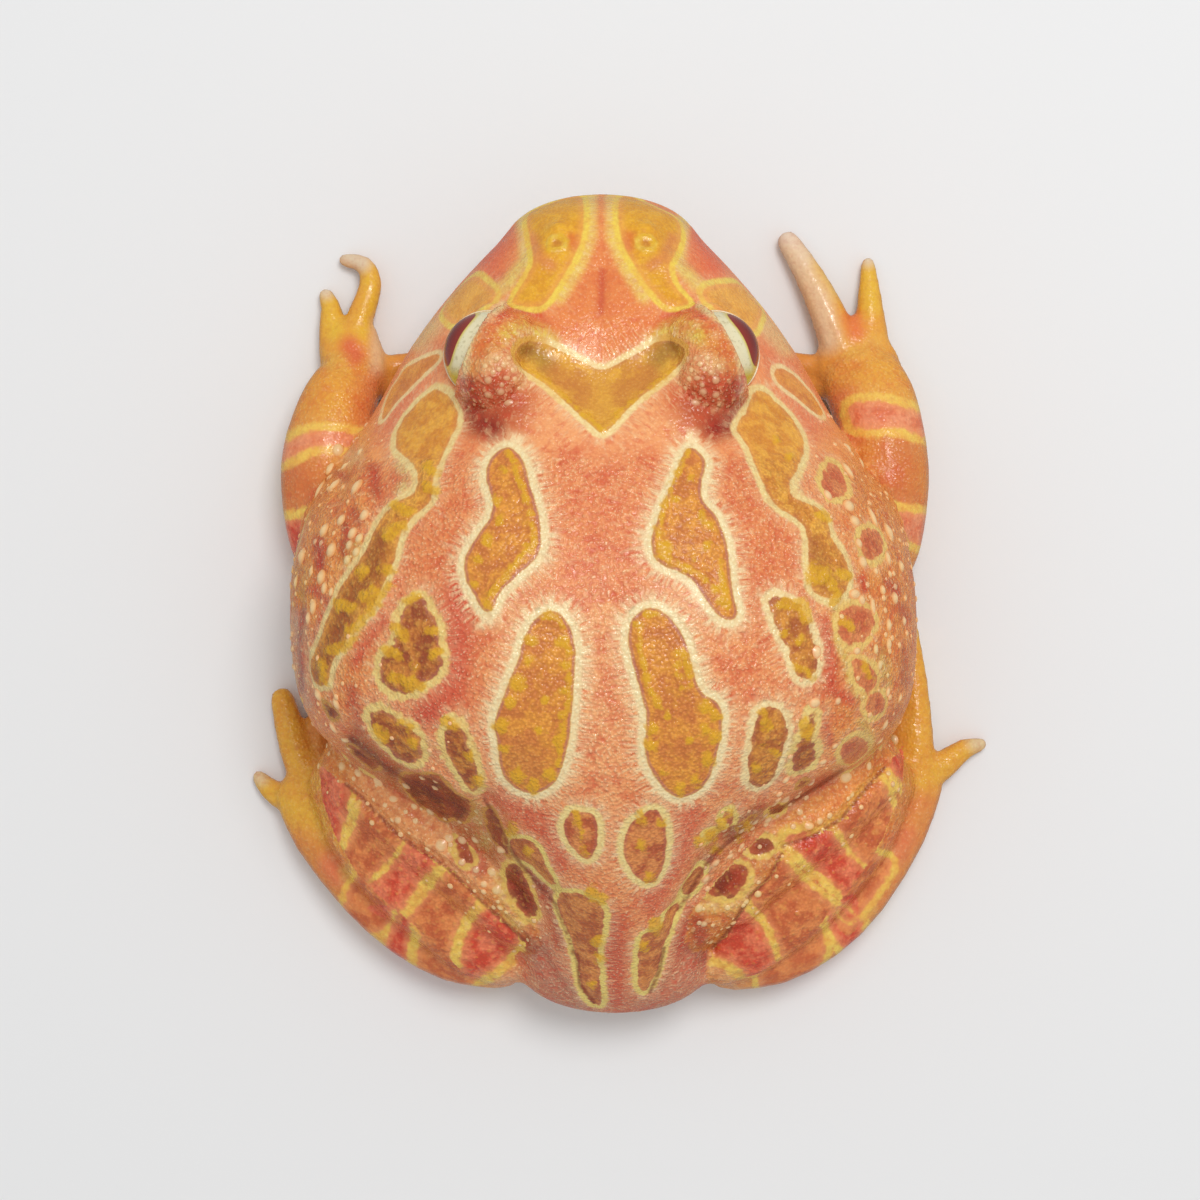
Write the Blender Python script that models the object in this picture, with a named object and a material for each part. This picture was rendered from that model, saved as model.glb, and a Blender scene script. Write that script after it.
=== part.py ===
"""Argentine horned frog, sitting at rest with its legs folded: a life-size still model.

Frame: +Z up, origin on the floor under the middle of the model's box. The frog looks along -Y
and its left side is +X. Sizes below are in millimetres and become metres as a mesh is made.
"""

import math

import bmesh
import bpy
from mathutils import Vector

MM = 0.001
FLOOR = 0.0
GAP = 0.3

# Driving dimensions
BODY_LENGTH = 113.6
BODY_HALF_WIDTH = 43.2
BACK_HEIGHT = 49.0
NECK_SHARE = 0.325
EYE_RADIUS = 6.0

SNOUT_Y = -BODY_LENGTH / 2
NECK_Y = SNOUT_Y + NECK_SHARE * BODY_LENGTH
VENT_Y = SNOUT_Y + BODY_LENGTH

# The trunk, from snout to vent: share of the body's length against a share of its size
HALF_WIDTH_SHARES = (
    (0.0, 0.26), (0.04, 0.293), (0.09, 0.412), (0.137, 0.52), (0.186, 0.615), (0.22, 0.67),
    (0.264, 0.735), (0.324, 0.85), (0.385, 0.945), (0.45, 0.993), (0.51, 1.0), (0.58, 0.99),
    (0.634, 0.95), (0.678, 0.84), (0.722, 0.665), (0.766, 0.51), (0.82, 0.385), (0.87, 0.315),
    (0.924, 0.31), (1.0, 0.30),
)
TOP_SHARES = (
    (0.0, 0.48), (0.035, 0.55), (0.064, 0.59), (0.106, 0.635), (0.15, 0.685), (0.21, 0.74),
    (0.255, 0.785), (0.29, 0.83), (0.37, 0.92), (0.458, 0.98), (0.53, 1.0), (0.60, 0.985),
    (0.68, 0.93), (0.75, 0.84), (0.82, 0.715), (0.89, 0.55), (0.94, 0.41), (1.0, 0.29),
)
# Height of the widest line, which on the head is the line of the mouth
SIDE_HEIGHTS = ((0.0, 14.8), (0.16, 13.8), (0.26, 12.4), (0.325, 11.4), (0.45, 14.0), (0.56, 16.0),
                (0.66, 15.8), (0.74, 14.0), (0.82, 12.0), (0.90, 9.5), (1.0, 8.5))
UNDER_HEIGHTS = ((0.0, 9.5), (0.04, 7.6), (0.08, 6.2), (0.15, 4.2), (0.22, 2.2), (0.28, 0.6),
                 (0.34, -1.0), (0.84, -1.0), (0.89, 0.8), (0.94, 3.0), (1.0, 5.5))
TOP_POWERS = ((0.0, 2.1), (0.08, 2.1), (0.16, 1.85), (0.25, 1.85), (0.36, 2.1), (0.6, 2.2),
              (0.74, 1.9), (0.86, 1.8), (1.0, 2.0))
UNDER_POWERS = ((0.0, 2.2), (0.25, 2.5), (0.5, 2.6), (0.8, 2.3), (1.0, 2.0))
MIDLINE = ((0.0, 2.6), (0.28, 2.6), (0.53, 2.35), (0.75, 1.5), (1.0, 0.7))
TIP_HEIGHT_SNOUT = 14.8
TIP_HEIGHT_VENT = 9.0
SNOUT_ROUNDING = 5.0
VENT_ROUNDING = 6.0
LOWER_JAW_INSET = 0.6
LIP_ROLL = 0.9

# The eyes and their lids, as offsets from the midline. A lid is a shell over the eye that ends at a
# plane: the distance of the plane from the middle of the eye and the way that it faces.
EYE_OFFSET = 14.9
EYE_Y = -33.6
EYE_Z = 31.0
LID_RADIUS = EYE_RADIUS + 1.0
LID_MOUND_OFFSET = 13.2
LID_MOUND_Y = -31.2
LID_MOUND_Z = 29.0
LID_MOUND_HALF_WIDTH = 7.6
LID_MOUND_HALF_LENGTH = 9.7
LID_MOUND_RISE = 7.6
LID_HORN_OFFSET = 13.6
LID_HORN_Y = -31.0
LID_HORN_RISE = 2.0
UPPER_LID_FACING = (0.875, -0.43, -0.21)
UPPER_LID_REACH = 1.0
LOWER_LID_FACING = (0.50, -0.245, 0.83)
LOWER_LID_REACH = 0.3
NOSTRIL_OFFSET = 5.9
NOSTRIL_Y = -50.4
NOSTRIL_RIM = 1.5
NOSTRIL_HOLE = 0.75

SKIN_COLOUR = (0.82, 0.30, 0.13, 1.0)
LIMB_COLOUR = (0.85, 0.38, 0.08, 1.0)
THROAT_COLOUR = (0.85, 0.62, 0.36, 1.0)
EYE_COLOUR = (0.20, 0.02, 0.02, 1.0)

LEFT, RIGHT = 1, -1
SIDE_NAMES = {LEFT: "left", RIGHT: "right"}


def clear_scene():
    for obj in list(bpy.data.objects):
        bpy.data.objects.remove(obj, do_unlink=True)


def material(name, colour, roughness, metallic=0.0):
    made = bpy.data.materials.new(name)
    made.use_nodes = True
    shader = made.node_tree.nodes["Principled BSDF"]
    shader.inputs["Base Color"].default_value = colour
    shader.inputs["Roughness"].default_value = roughness
    shader.inputs["Metallic"].default_value = metallic
    made.diffuse_color = colour
    return made


def curve_value(stations, at):
    """A smooth curve through the stations that never swings past them, read at one place."""
    places = [place for place, _ in stations]
    values = [value for _, value in stations]
    if at <= places[0]:
        return values[0]
    if at >= places[-1]:
        return values[-1]
    rises = [(values[i + 1] - values[i]) / (places[i + 1] - places[i]) for i in range(len(places) - 1)]
    slopes = [rises[0]]
    for before, after in zip(rises, rises[1:]):
        slopes.append(0.0 if before * after <= 0 else 2 * before * after / (before + after))
    slopes.append(rises[-1])
    i = max(k for k in range(len(places) - 1) if places[k] <= at)
    span = places[i + 1] - places[i]
    t = (at - places[i]) / span
    return (values[i] * (1 + 2 * t) * (1 - t) ** 2 + slopes[i] * span * t * (1 - t) ** 2
            + values[i + 1] * t * t * (3 - 2 * t) - slopes[i + 1] * span * t * t * (1 - t))


def path_points(controls, steps):
    """Points along a smooth Catmull-Rom line through the control points, ends included."""
    ends = [2 * controls[0] - controls[1], *controls, 2 * controls[-1] - controls[-2]]
    found = []
    for step in range(steps + 1):
        place = step / steps * (len(controls) - 1)
        i = min(int(place), len(controls) - 2)
        t = place - i
        a, b, c, d = ends[i:i + 4]
        found.append(0.5 * (2 * b + (c - a) * t + (2 * a - 5 * b + 4 * c - d) * t * t
                            + (3 * b - a - 3 * c + d) * t ** 3))
    return found


def link(name, mesh, finish=None):
    obj = bpy.data.objects.new(name, mesh)
    bpy.context.scene.collection.objects.link(obj)
    if finish:
        mesh.materials.clear()
        mesh.materials.append(finish)
    return obj


def mesh_from_rings(name, rings, finish=None):
    """A closed mesh from rings of equal count. A ring of one point is a pole, and a flat end is fanned."""
    mesh = bpy.data.meshes.new(name)
    made = bmesh.new()
    rows = [[made.verts.new(point * MM) for point in ring] for ring in rings]
    for low, high in zip(rows, rows[1:]):
        count = max(len(low), len(high))
        for i in range(count):
            j = (i + 1) % count
            if len(low) == 1:
                made.faces.new((low[0], high[j], high[i]))
            elif len(high) == 1:
                made.faces.new((low[i], low[j], high[0]))
            else:
                made.faces.new((low[i], low[j], high[j], high[i]))
    for row in (rows[0], rows[-1]):
        if len(row) > 1:
            hub = made.verts.new(sum((vert.co for vert in row), Vector()) / len(row))
            for vert, following in zip(row, row[1:] + row[:1]):
                made.faces.new((vert, following, hub))
    bmesh.ops.recalc_face_normals(made, faces=made.faces)
    if made.calc_volume(signed=True) < 0:
        bmesh.ops.reverse_faces(made, faces=made.faces)
    made.to_mesh(mesh)
    made.free()
    return link(name, mesh, finish)


def evaluated_copy(obj):
    graph = bpy.context.evaluated_depsgraph_get()
    return bpy.data.meshes.new_from_object(obj.evaluated_get(graph))


def take_mesh(obj, mesh):
    old, obj.data = obj.data, mesh
    bpy.data.meshes.remove(old)


def keep_largest(obj):
    """Leaves only the closed surface with the most volume, so a cut drops no loose scrap."""
    shape = bmesh.new()
    shape.from_mesh(obj.data)
    bmesh.ops.remove_doubles(shape, verts=shape.verts, dist=0.0005 * MM)
    waiting, islands = set(shape.faces), []
    while waiting:
        front = [waiting.pop()]
        island = list(front)
        while front:
            near = {face for edge in front.pop().edges for face in edge.link_faces} & waiting
            waiting -= near
            front.extend(near)
            island.extend(near)
        islands.append(island)
    islands.sort(key=lambda island: -sum(face.calc_area() for face in island))
    for island in islands[1:]:
        bmesh.ops.delete(shape, geom=island, context="FACES")
    bmesh.ops.delete(shape, geom=[vert for vert in shape.verts if not vert.link_faces], context="VERTS")
    bmesh.ops.triangulate(shape, faces=shape.faces)
    shape.to_mesh(obj.data)
    shape.free()


def apply_boolean(obj, operation, others):
    """Joins or cuts obj with a collection of closed meshes, applies it, and removes them."""
    tools = bpy.data.collections.new("tools")
    bpy.context.scene.collection.children.link(tools)
    for other in others:
        for owner in list(other.users_collection):
            owner.objects.unlink(other)
        tools.objects.link(other)
    modifier = obj.modifiers.new(operation.lower(), "BOOLEAN")
    modifier.operation = operation
    modifier.operand_type = "COLLECTION"
    modifier.collection = tools
    modifier.solver = "EXACT"
    mesh = evaluated_copy(obj)
    obj.modifiers.clear()
    take_mesh(obj, mesh)
    for other in others:
        bpy.data.objects.remove(other, do_unlink=True)
    bpy.data.collections.remove(tools)
    keep_largest(obj)
    return obj


def grown(obj, by=GAP):
    """A copy of a closed shape whose skin stands out by a small distance."""
    mesh = obj.data.copy()
    copy = link(obj.name + "_grown", mesh)
    normals = [vert.normal.copy() for vert in mesh.vertices]
    for vert, normal in zip(mesh.vertices, normals):
        vert.co += normal * by * MM
    return copy


def carve(obj, *neighbours):
    """Cuts obj clear of its neighbours, so that they meet face to face with the gap between."""
    return apply_boolean(obj, "DIFFERENCE", [grown(other) for other in neighbours])


def rest_on_floor(obj):
    """Presses what would pass the floor flat against it."""
    for vert in obj.data.vertices:
        vert.co.z = max(vert.co.z, FLOOR * MM)
    return obj


def ellipsoid(name, centre, size, segments=20, rings=12, finish=None):
    shape = bmesh.new()
    bmesh.ops.create_uvsphere(shape, u_segments=segments, v_segments=rings, radius=1.0)
    for vert in shape.verts:
        vert.co = Vector(centre[axis] + vert.co[axis] * size[axis] for axis in range(3)) * MM
    mesh = bpy.data.meshes.new(name)
    shape.to_mesh(mesh)
    shape.free()
    return link(name, mesh, finish)


def half_space(name, point, normal, reach=60.0):
    """A large block whose near face passes through the point and whose body lies along the normal."""
    shape = bmesh.new()
    bmesh.ops.create_cube(shape, size=2 * reach * MM)
    turn = normal.normalized().to_track_quat("Z", "Y")
    for vert in shape.verts:
        vert.co = turn @ (vert.co + Vector((0, 0, reach * MM))) + point * MM
    mesh = bpy.data.meshes.new(name)
    shape.to_mesh(mesh)
    shape.free()
    return link(name, mesh)


# The trunk
def share_of(y):
    return (y - SNOUT_Y) / BODY_LENGTH


def end_rounding(y):
    """0 at the tip of the snout or vent, rising as a quarter circle to 1 over the rounded end."""
    fore = min(1.0, (y - SNOUT_Y) / SNOUT_ROUNDING)
    aft = min(1.0, (VENT_Y - y) / VENT_ROUNDING)
    return math.sqrt(max(0.0, (1 - (1 - fore) ** 2) * (1 - (1 - aft) ** 2)))


def midline(y):
    return curve_value(MIDLINE, share_of(y))


def bump(x, y, centre_x, centre_y, reach_x, reach_y):
    return math.exp(-((x - centre_x) / reach_x) ** 2 - ((y - centre_y) / reach_y) ** 2)


def top_relief(offset, y):
    """Rise of the upper skin over the plain trunk: brow, canthal ridges, back ridges and hollows."""
    across = abs(offset)
    rise = -2.4 * bump(across, y, 0.0, -31.0, 5.5, 6.0)
    rise += 1.6 * bump(across, y, 12.0, -31.5, 6.0, 7.5)
    for step in range(5):
        t = step / 4
        rise += 0.7 * bump(across, y, 10.5 - 4.2 * t, -40.5 - 9.5 * t, 1.8, 2.6)
    rise -= 0.8 * bump(across, y, 0.0, -46.0, 3.5, 6.0)
    rise += 0.9 * bump(across, y, 14.0, 4.0, 5.0, 22.0)
    rise -= 0.6 * bump(across, y, 0.0, 4.0, 6.0, 24.0)
    return rise


def section_point(y, angle):
    """A point of the trunk's skin: 0 degrees is the left side, 90 the top and 270 the under side."""
    share, rounding = share_of(y), end_rounding(y)
    tip = TIP_HEIGHT_SNOUT if share < 0.5 else TIP_HEIGHT_VENT
    side = tip + (curve_value(SIDE_HEIGHTS, share) - tip) * rounding
    half = curve_value(HALF_WIDTH_SHARES, share) * BODY_HALF_WIDTH * rounding
    across, up = math.cos(angle), math.sin(angle)
    power = curve_value(TOP_POWERS if up >= 0 else UNDER_POWERS, share)
    if up >= 0:
        reach = (curve_value(TOP_SHARES, share) * BACK_HEIGHT - side) * rounding
    else:
        reach = (side - curve_value(UNDER_HEIGHTS, share)) * rounding
    x = half * math.copysign(abs(across) ** (2 / power), across)
    z = side + math.copysign(abs(up) ** (2 / power), up) * reach
    if up > 0:
        z += top_relief(x, y) * up * rounding
    return Vector((midline(y) + x, y, max(z, FLOOR)))


def stations(blunt, plain, count):
    """Places along the body from its rounded end, where they stand closer together."""
    shares = (1 - math.cos(math.pi / 2 * step / count) for step in range(count + 1))
    return [blunt + (plain - blunt) * share for share in shares]


def torso_stations():
    return stations(VENT_Y, NECK_Y + GAP / 2, 22)


def torso(finish):
    around = 44
    rings = [[Vector((midline(VENT_Y), VENT_Y, TIP_HEIGHT_VENT))]]
    for y in torso_stations()[1:]:
        rings.append([section_point(y, math.tau * i / around) for i in range(around)])
    return mesh_from_rings("torso", rings, finish)


def head_stations():
    return stations(SNOUT_Y, NECK_Y - GAP / 2, 18)


def whole_trunk():
    """Head and torso as one closed shape without the mouth, which the limbs are cut to."""
    around = 44
    rings = [[Vector((midline(SNOUT_Y), SNOUT_Y, TIP_HEIGHT_SNOUT))]]
    for y in head_stations()[2:] + torso_stations()[:0:-1]:
        rings.append([section_point(y, math.tau * i / around) for i in range(around)])
    rings.append([Vector((midline(VENT_Y), VENT_Y, TIP_HEIGHT_VENT))])
    return mesh_from_rings("whole_trunk", rings)


def mouth_height(y):
    share, rounding = share_of(y), end_rounding(y)
    return TIP_HEIGHT_SNOUT + (curve_value(SIDE_HEIGHTS, share) - TIP_HEIGHT_SNOUT) * rounding


def head(finish):
    """The head above the line of the mouth, with a rolled upper lip."""
    across = 26
    rings = [[Vector((midline(SNOUT_Y), SNOUT_Y, TIP_HEIGHT_SNOUT + GAP / 2))]]
    for y in head_stations()[1:]:
        roll = LIP_ROLL * end_rounding(y)
        ring = [section_point(y, math.pi * i / across) for i in range(across + 1)]
        floor_z = mouth_height(y) + GAP / 2
        for i in (0, across):
            inward = math.copysign(roll, midline(y) - ring[i].x)
            ring[i] = Vector((ring[i].x + inward, y, floor_z))
        for i in (1, across - 1):
            ring[i].z = max(ring[i].z, floor_z + 0.3 * roll)
        rings.append(ring)
    return mesh_from_rings("head", rings, finish)


def lower_jaw(finish):
    """The jaw and throat under the line of the mouth, set a little inside the upper lip."""
    across = 20
    rings = [[Vector((midline(SNOUT_Y), SNOUT_Y + LOWER_JAW_INSET, TIP_HEIGHT_SNOUT - GAP / 2))]]
    for y in head_stations()[2:]:
        inset = LOWER_JAW_INSET * end_rounding(y)
        roof = mouth_height(y) - GAP / 2
        ring = []
        for i in range(across + 1):
            point = section_point(y, math.pi + math.pi * i / across)
            point.x += math.copysign(min(inset, abs(midline(y) - point.x)), midline(y) - point.x)
            point.z = min(point.z, roof)
            ring.append(point)
        rings.append(ring)
    return mesh_from_rings("lower_jaw", rings, finish)


# The eyes and lids
def eye_centre(side):
    return Vector((midline(EYE_Y) + side * EYE_OFFSET, EYE_Y, EYE_Z))


def eyeball(side, finish):
    name = "eye_" + SIDE_NAMES[side]
    return ellipsoid(name, eye_centre(side), (EYE_RADIUS,) * 3, 18, 10, finish)


def lid_height(offset, y):
    """Height of the upper lid over a place: a mound, a shell over the eye and a low blunt horn."""
    across = (offset - LID_MOUND_OFFSET) / LID_MOUND_HALF_WIDTH
    along = (y - LID_MOUND_Y) / LID_MOUND_HALF_LENGTH
    mound = LID_MOUND_Z + LID_MOUND_RISE * math.sqrt(max(0.0, 1 - across ** 2 - along ** 2))
    apart = (offset - EYE_OFFSET) ** 2 + (y - EYE_Y) ** 2
    shell = EYE_Z + math.sqrt(max(0.0, LID_RADIUS ** 2 - apart))
    height = math.log(math.exp(mound) + math.exp(shell))
    height += LID_HORN_RISE * bump(offset, y, LID_HORN_OFFSET, LID_HORN_Y, 2.6, 3.4)
    height += 1.2 * bump(offset, y, LID_HORN_OFFSET - 0.5, LID_HORN_Y + 5.0, 3.6, 3.0)
    return height - 1.3 * bump(offset, y, LID_MOUND_OFFSET - 4.8, LID_MOUND_Y - 0.4, 2.2, 2.6)


def past_plane(name, side, facing, reach):
    """All that lies beyond the edge plane of one eye's lid."""
    facing = Vector((side * facing[0], facing[1], facing[2])).normalized()
    return half_space(name, eye_centre(side) + facing * reach, facing)


def upper_lid(side, eye, finish):
    """The raised upper lid that roofs the eye, a warty mound with a blunt horn."""
    around, levels = 24, 7
    middle = midline(LID_MOUND_Y)
    rings = []
    for level in range(levels):
        width = math.cos(math.pi / 2 * level / levels)
        ring = []
        for i in range(around):
            turn = math.tau * i / around
            offset = LID_MOUND_OFFSET + LID_MOUND_HALF_WIDTH * width * math.cos(turn)
            y = LID_MOUND_Y + LID_MOUND_HALF_LENGTH * width * math.sin(turn)
            ring.append(Vector((middle + side * offset, y, lid_height(offset, y))))
        rings.append(ring)
    top = lid_height(LID_MOUND_OFFSET, LID_MOUND_Y)
    rings.append([Vector((middle + side * LID_MOUND_OFFSET, LID_MOUND_Y, top))])
    rings.insert(0, [Vector((point.x, point.y, EYE_Z - 4.0)) for point in rings[0]])
    lid = mesh_from_rings("upper_lid_" + SIDE_NAMES[side], rings, finish)
    apply_boolean(lid, "DIFFERENCE", [past_plane("opening", side, UPPER_LID_FACING, UPPER_LID_REACH)])
    return carve(lid, eye)


def lower_lid(side):
    """The rim of the lower lid, a shell that stands out of the cheek under the eye."""
    rim = ellipsoid("lower_lid", eye_centre(side), (LID_RADIUS - 0.1,) * 3, 18, 10)
    return apply_boolean(rim, "DIFFERENCE", [past_plane("opening", side, LOWER_LID_FACING, LOWER_LID_REACH)])


def add_nostrils(skull):
    """A low rim round a pit on each side of the snout."""
    rims, pits = [], []
    for side in (LEFT, RIGHT):
        place = nearest_top(midline(NOSTRIL_Y) + side * NOSTRIL_OFFSET, NOSTRIL_Y)
        rim_centre = place - Vector((0, 0, 0.8))
        pit_centre = place + Vector((side * 0.5, 0, 0.5))
        rims.append(ellipsoid("rim", rim_centre, (NOSTRIL_RIM, NOSTRIL_RIM * 1.2, NOSTRIL_RIM), 12, 8))
        pits.append(ellipsoid("pit", pit_centre, (NOSTRIL_HOLE, NOSTRIL_HOLE * 1.3, 1.1), 10, 6))
    apply_boolean(skull, "UNION", rims)
    apply_boolean(skull, "DIFFERENCE", pits)


def nearest_top(x, y):
    """The point of the trunk's upper skin over a place on the floor."""
    arc = (section_point(y, math.pi * i / 360) for i in range(361))
    return min(arc, key=lambda point: abs(point.x - x))


# Limbs
def rounded_end(ring, centre, ahead, reach, caps):
    """Rings that close the end of a limb as half a ball, the last of them a pole."""
    found = []
    for step in range(1, caps + 1):
        turn = math.pi / 2 * step / (caps + 1)
        rise = ahead * reach * math.sin(turn)
        found.append([centre + (point - centre) * math.cos(turn) + rise for point in ring])
    found.append([centre + ahead * reach])
    return found


def limb(name, controls, radii, heights, sides=12, steps=9, caps=2, finish=None):
    """A tapered limb swept along a smooth line, oval in section, with rounded ends."""
    line = path_points([Vector(point) for point in controls], steps)
    last = len(controls) - 1
    rings = []
    for step in range(steps + 1):
        t = step / steps
        ahead = (line[min(step + 1, steps)] - line[max(step - 1, 0)]).normalized()
        out = ahead.cross(Vector((0, 0, 1))).normalized()
        up = out.cross(ahead).normalized()
        wide = curve_value([(i / last, value) for i, value in enumerate(radii)], t)
        tall = curve_value([(i / last, value) for i, value in enumerate(heights)], t)
        ring = []
        for i in range(sides):
            angle = math.tau * i / sides
            ring.append(line[step] + out * wide * math.cos(angle) + up * tall * math.sin(angle))
        rings.append(ring)
    back = (line[0] - line[1]).normalized()
    ahead = (line[-1] - line[-2]).normalized()
    near = rounded_end(rings[0], line[0], back, (radii[0] + heights[0]) / 2, caps)
    far = rounded_end(rings[-1], line[-1], ahead, (radii[-1] + heights[-1]) / 2, caps)
    return rest_on_floor(mesh_from_rings(name, near[::-1] + rings + far, finish))


def digit(points, root, tip):
    """A finger or toe that tapers from its root to a rounded tip."""
    last = len(points) - 1
    radii = [root + (tip - root) * i / last for i in range(last + 1)]
    return limb("digit", points, radii, [0.9 * radius for radius in radii], 8, 2 * last, 1)


def paw(name, base, base_radii, base_heights, digits, finish):
    """A palm or sole with its digits, joined as one piece of flesh."""
    palm = limb(name, base, base_radii, base_heights, 12, 2 * (len(base) - 1), 2, finish)
    return apply_boolean(palm, "UNION", [digit(*one) for one in digits])


ARM_AXIS = 2.0
LEG_AXIS = 1.2


def mirrored(points, side, axis):
    return [Vector((axis + side * x, y, z)) for x, y, z in points]


def arm(side, finish):
    tag = SIDE_NAMES[side]
    shoulder = mirrored(((25, -12, 13), (31.5, -10.5, 12), (37.0, -9.0, 9.6)), side, ARM_AXIS)
    upper = limb("upper_arm_" + tag, shoulder, (6.2, 6.2, 5.6), (6.6, 6.6, 6.0), 12, 5, 2, finish)
    if side == LEFT:
        line = (39.4, -9.5, 6.8), (39.8, -15, 7), (39.4, -21.5, 6.8), (37.6, -28.5, 5.6), (36.2, -32.2, 4.4)
        wide = (5.2, 5.8, 6.2, 5.7, 4.8)
    else:
        line = (38.9, -8.5, 6.8), (39.6, -15, 7), (39.2, -21.5, 6.8), (37.8, -28.5, 5.6), (36.2, -32.2, 4.4)
        wide = (5.4, 5.8, 6.2, 6.3, 6.0)
    fore = limb("forearm_" + tag, mirrored(line, side, ARM_AXIS), wide, (5.8, 6.6, 6.4, 5.2, 4.0), 12, 9, 2,
                finish)
    return upper, fore


LEFT_FINGERS = (
    ([(40.6, -36, 2.2), (40.9, -40.0, 2.2), (41.0, -42.6, 1.7), (41.8, -44.4, 1.2)], 2.0, 1.0),
    ([(38.1, -37, 2.6), (36.4, -42.2, 2.6), (35.3, -46.0, 2.3), (36.3, -48.7, 1.8), (39.0, -49.4, 1.3)],
     2.1, 0.9),
    ([(34.6, -33.6, 2.2), (30.6, -34.5, 1.9), (26.8, -35.6, 1.4)], 2.0, 1.1),
    ([(34.4, -31.4, 2.0), (30.2, -31.5, 1.6), (26.4, -31.9, 1.3)], 1.9, 1.1),
)
RIGHT_FINGERS = (
    ([(-35.8, -37.0, 2.4), (-35.5, -42.0, 2.2), (-35.4, -45.6, 1.7), (-35.3, -48.9, 1.2)], 2.4, 0.9),
    ([(-31.5, -36.5, 3.0), (-29.3, -42.0, 3.2), (-26.8, -47.2, 2.6), (-23.9, -52.0, 1.8)], 2.9, 1.5),
    ([(-29.8, -33.6, 2.2), (-25.6, -34.6, 1.8), (-21.4, -35.8, 1.3)], 1.9, 1.1),
    ([(-29.4, -31.4, 2.0), (-25.2, -31.4, 1.6), (-21.4, -31.6, 1.3)], 1.8, 1.1),
)


def hand(side, finish):
    if side == LEFT:
        palm, fingers = [(37.6, -33.0, 3.4), (37.9, -36.0, 3.0), (37.9, -38.0, 2.6)], LEFT_FINGERS
        wide = (4.8, 4.5, 3.8)
    else:
        palm, fingers = [(-34.2, -32.0, 3.4), (-33.4, -35.2, 3.0), (-33.2, -37.8, 2.6)], RIGHT_FINGERS
        wide = (6.2, 5.8, 4.8)
    return paw("hand_" + SIDE_NAMES[side], palm, wide, (3.4, 2.8, 2.4), fingers, finish)


def leg(side, finish):
    tag = SIDE_NAMES[side]
    hip = ((5, 43.5, 12.5), (11.9, 39, 13.5), (20.6, 32.3, 14), (29.4, 26.4, 12.5), (34.6, 23, 10.4))
    thigh = limb("thigh_" + tag, mirrored(hip, side, LEG_AXIS), (7.4, 7.4, 7.0, 6.6, 5.8),
                 (8.5, 9.0, 9.0, 8.4, 7.2), 14, 9, 2, finish)
    knee = ((37.2, 25.2, 7.4), (33.6, 30.5, 8.6), (27.0, 38.0, 9.0), (20.2, 44.2, 8.5), (16.0, 47.6, 7.4))
    shank = limb("shank_" + tag, mirrored(knee, side, LEG_AXIS), (5.2, 6.4, 6.8, 6.2, 5.4),
                 (6.3, 7.2, 7.5, 6.9, 6.2), 12, 9, 2, finish)
    return thigh, shank


LEFT_TOES = (
    ([(44.6, 27.5, 2.6), (47.3, 27.0, 2.2), (49.7, 25.7, 1.5), (51.3, 24.1, 1.0)], 2.5, 0.95),
    ([(44.2, 24.0, 2.8), (46.0, 19.5, 2.6), (47.1, 15.8, 2.2), (47.9, 12.9, 1.9)], 2.6, 1.6),
    ([(42.4, 23.2, 2.6), (42.6, 17.5, 2.2), (42.6, 12.5, 1.6)], 2.2, 1.2),
    ([(40.8, 24.0, 2.4), (39.6, 19.6, 1.9), (38.4, 16.0, 1.3)], 2.0, 1.1),
    ([(39.6, 25.5, 2.2), (37.0, 22.6, 1.7), (35.0, 20.4, 1.2)], 1.8, 1.0),
)
RIGHT_TOES = (
    ([(-43.0, 23.9, 2.6), (-46.0, 22.2, 2.1), (-48.9, 20.1, 1.5), (-51.4, 19.4, 1.0)], 2.5, 0.85),
    ([(-42.0, 21.0, 2.8), (-42.0, 14.5, 2.6), (-41.6, 8.0, 2.1), (-41.0, 2.0, 1.3)], 2.5, 1.1),
    ([(-41.0, 21.0, 2.6), (-39.4, 15.0, 2.2), (-38.0, 10.2, 1.6)], 2.2, 1.2),
    ([(-39.4, 21.8, 2.4), (-37.0, 17.4, 1.9), (-35.2, 14.0, 1.3)], 2.0, 1.1),
    ([(-38.2, 23.2, 2.2), (-35.2, 20.2, 1.7), (-33.2, 18.2, 1.2)], 1.8, 1.0),
)


def foot(side, finish):
    if side == LEFT:
        heel = [(16.0, 49.2, 5.0), (22.2, 48.3, 5.0), (28.5, 45.0, 4.8), (34.5, 39.8, 4.6)]
        front, toes = [(40.6, 31.8, 4.0), (43.2, 26.4, 3.2)], LEFT_TOES
    else:
        heel = [(17.0, 49.4, 5.0), (23.0, 48.7, 5.0), (29.4, 45.4, 4.8), (35.0, 40.0, 4.6)]
        front, toes = [(40.2, 31.2, 4.0), (42.6, 24.6, 3.2)], RIGHT_TOES
    base = mirrored(heel + front, side, LEG_AXIS)
    wide, tall = (4.4, 4.3, 4.2, 4.1, 4.3, 4.3), (4.8, 4.8, 4.6, 4.4, 4.0, 3.0)
    return paw("foot_" + SIDE_NAMES[side], base, wide, tall, toes, finish)


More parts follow.
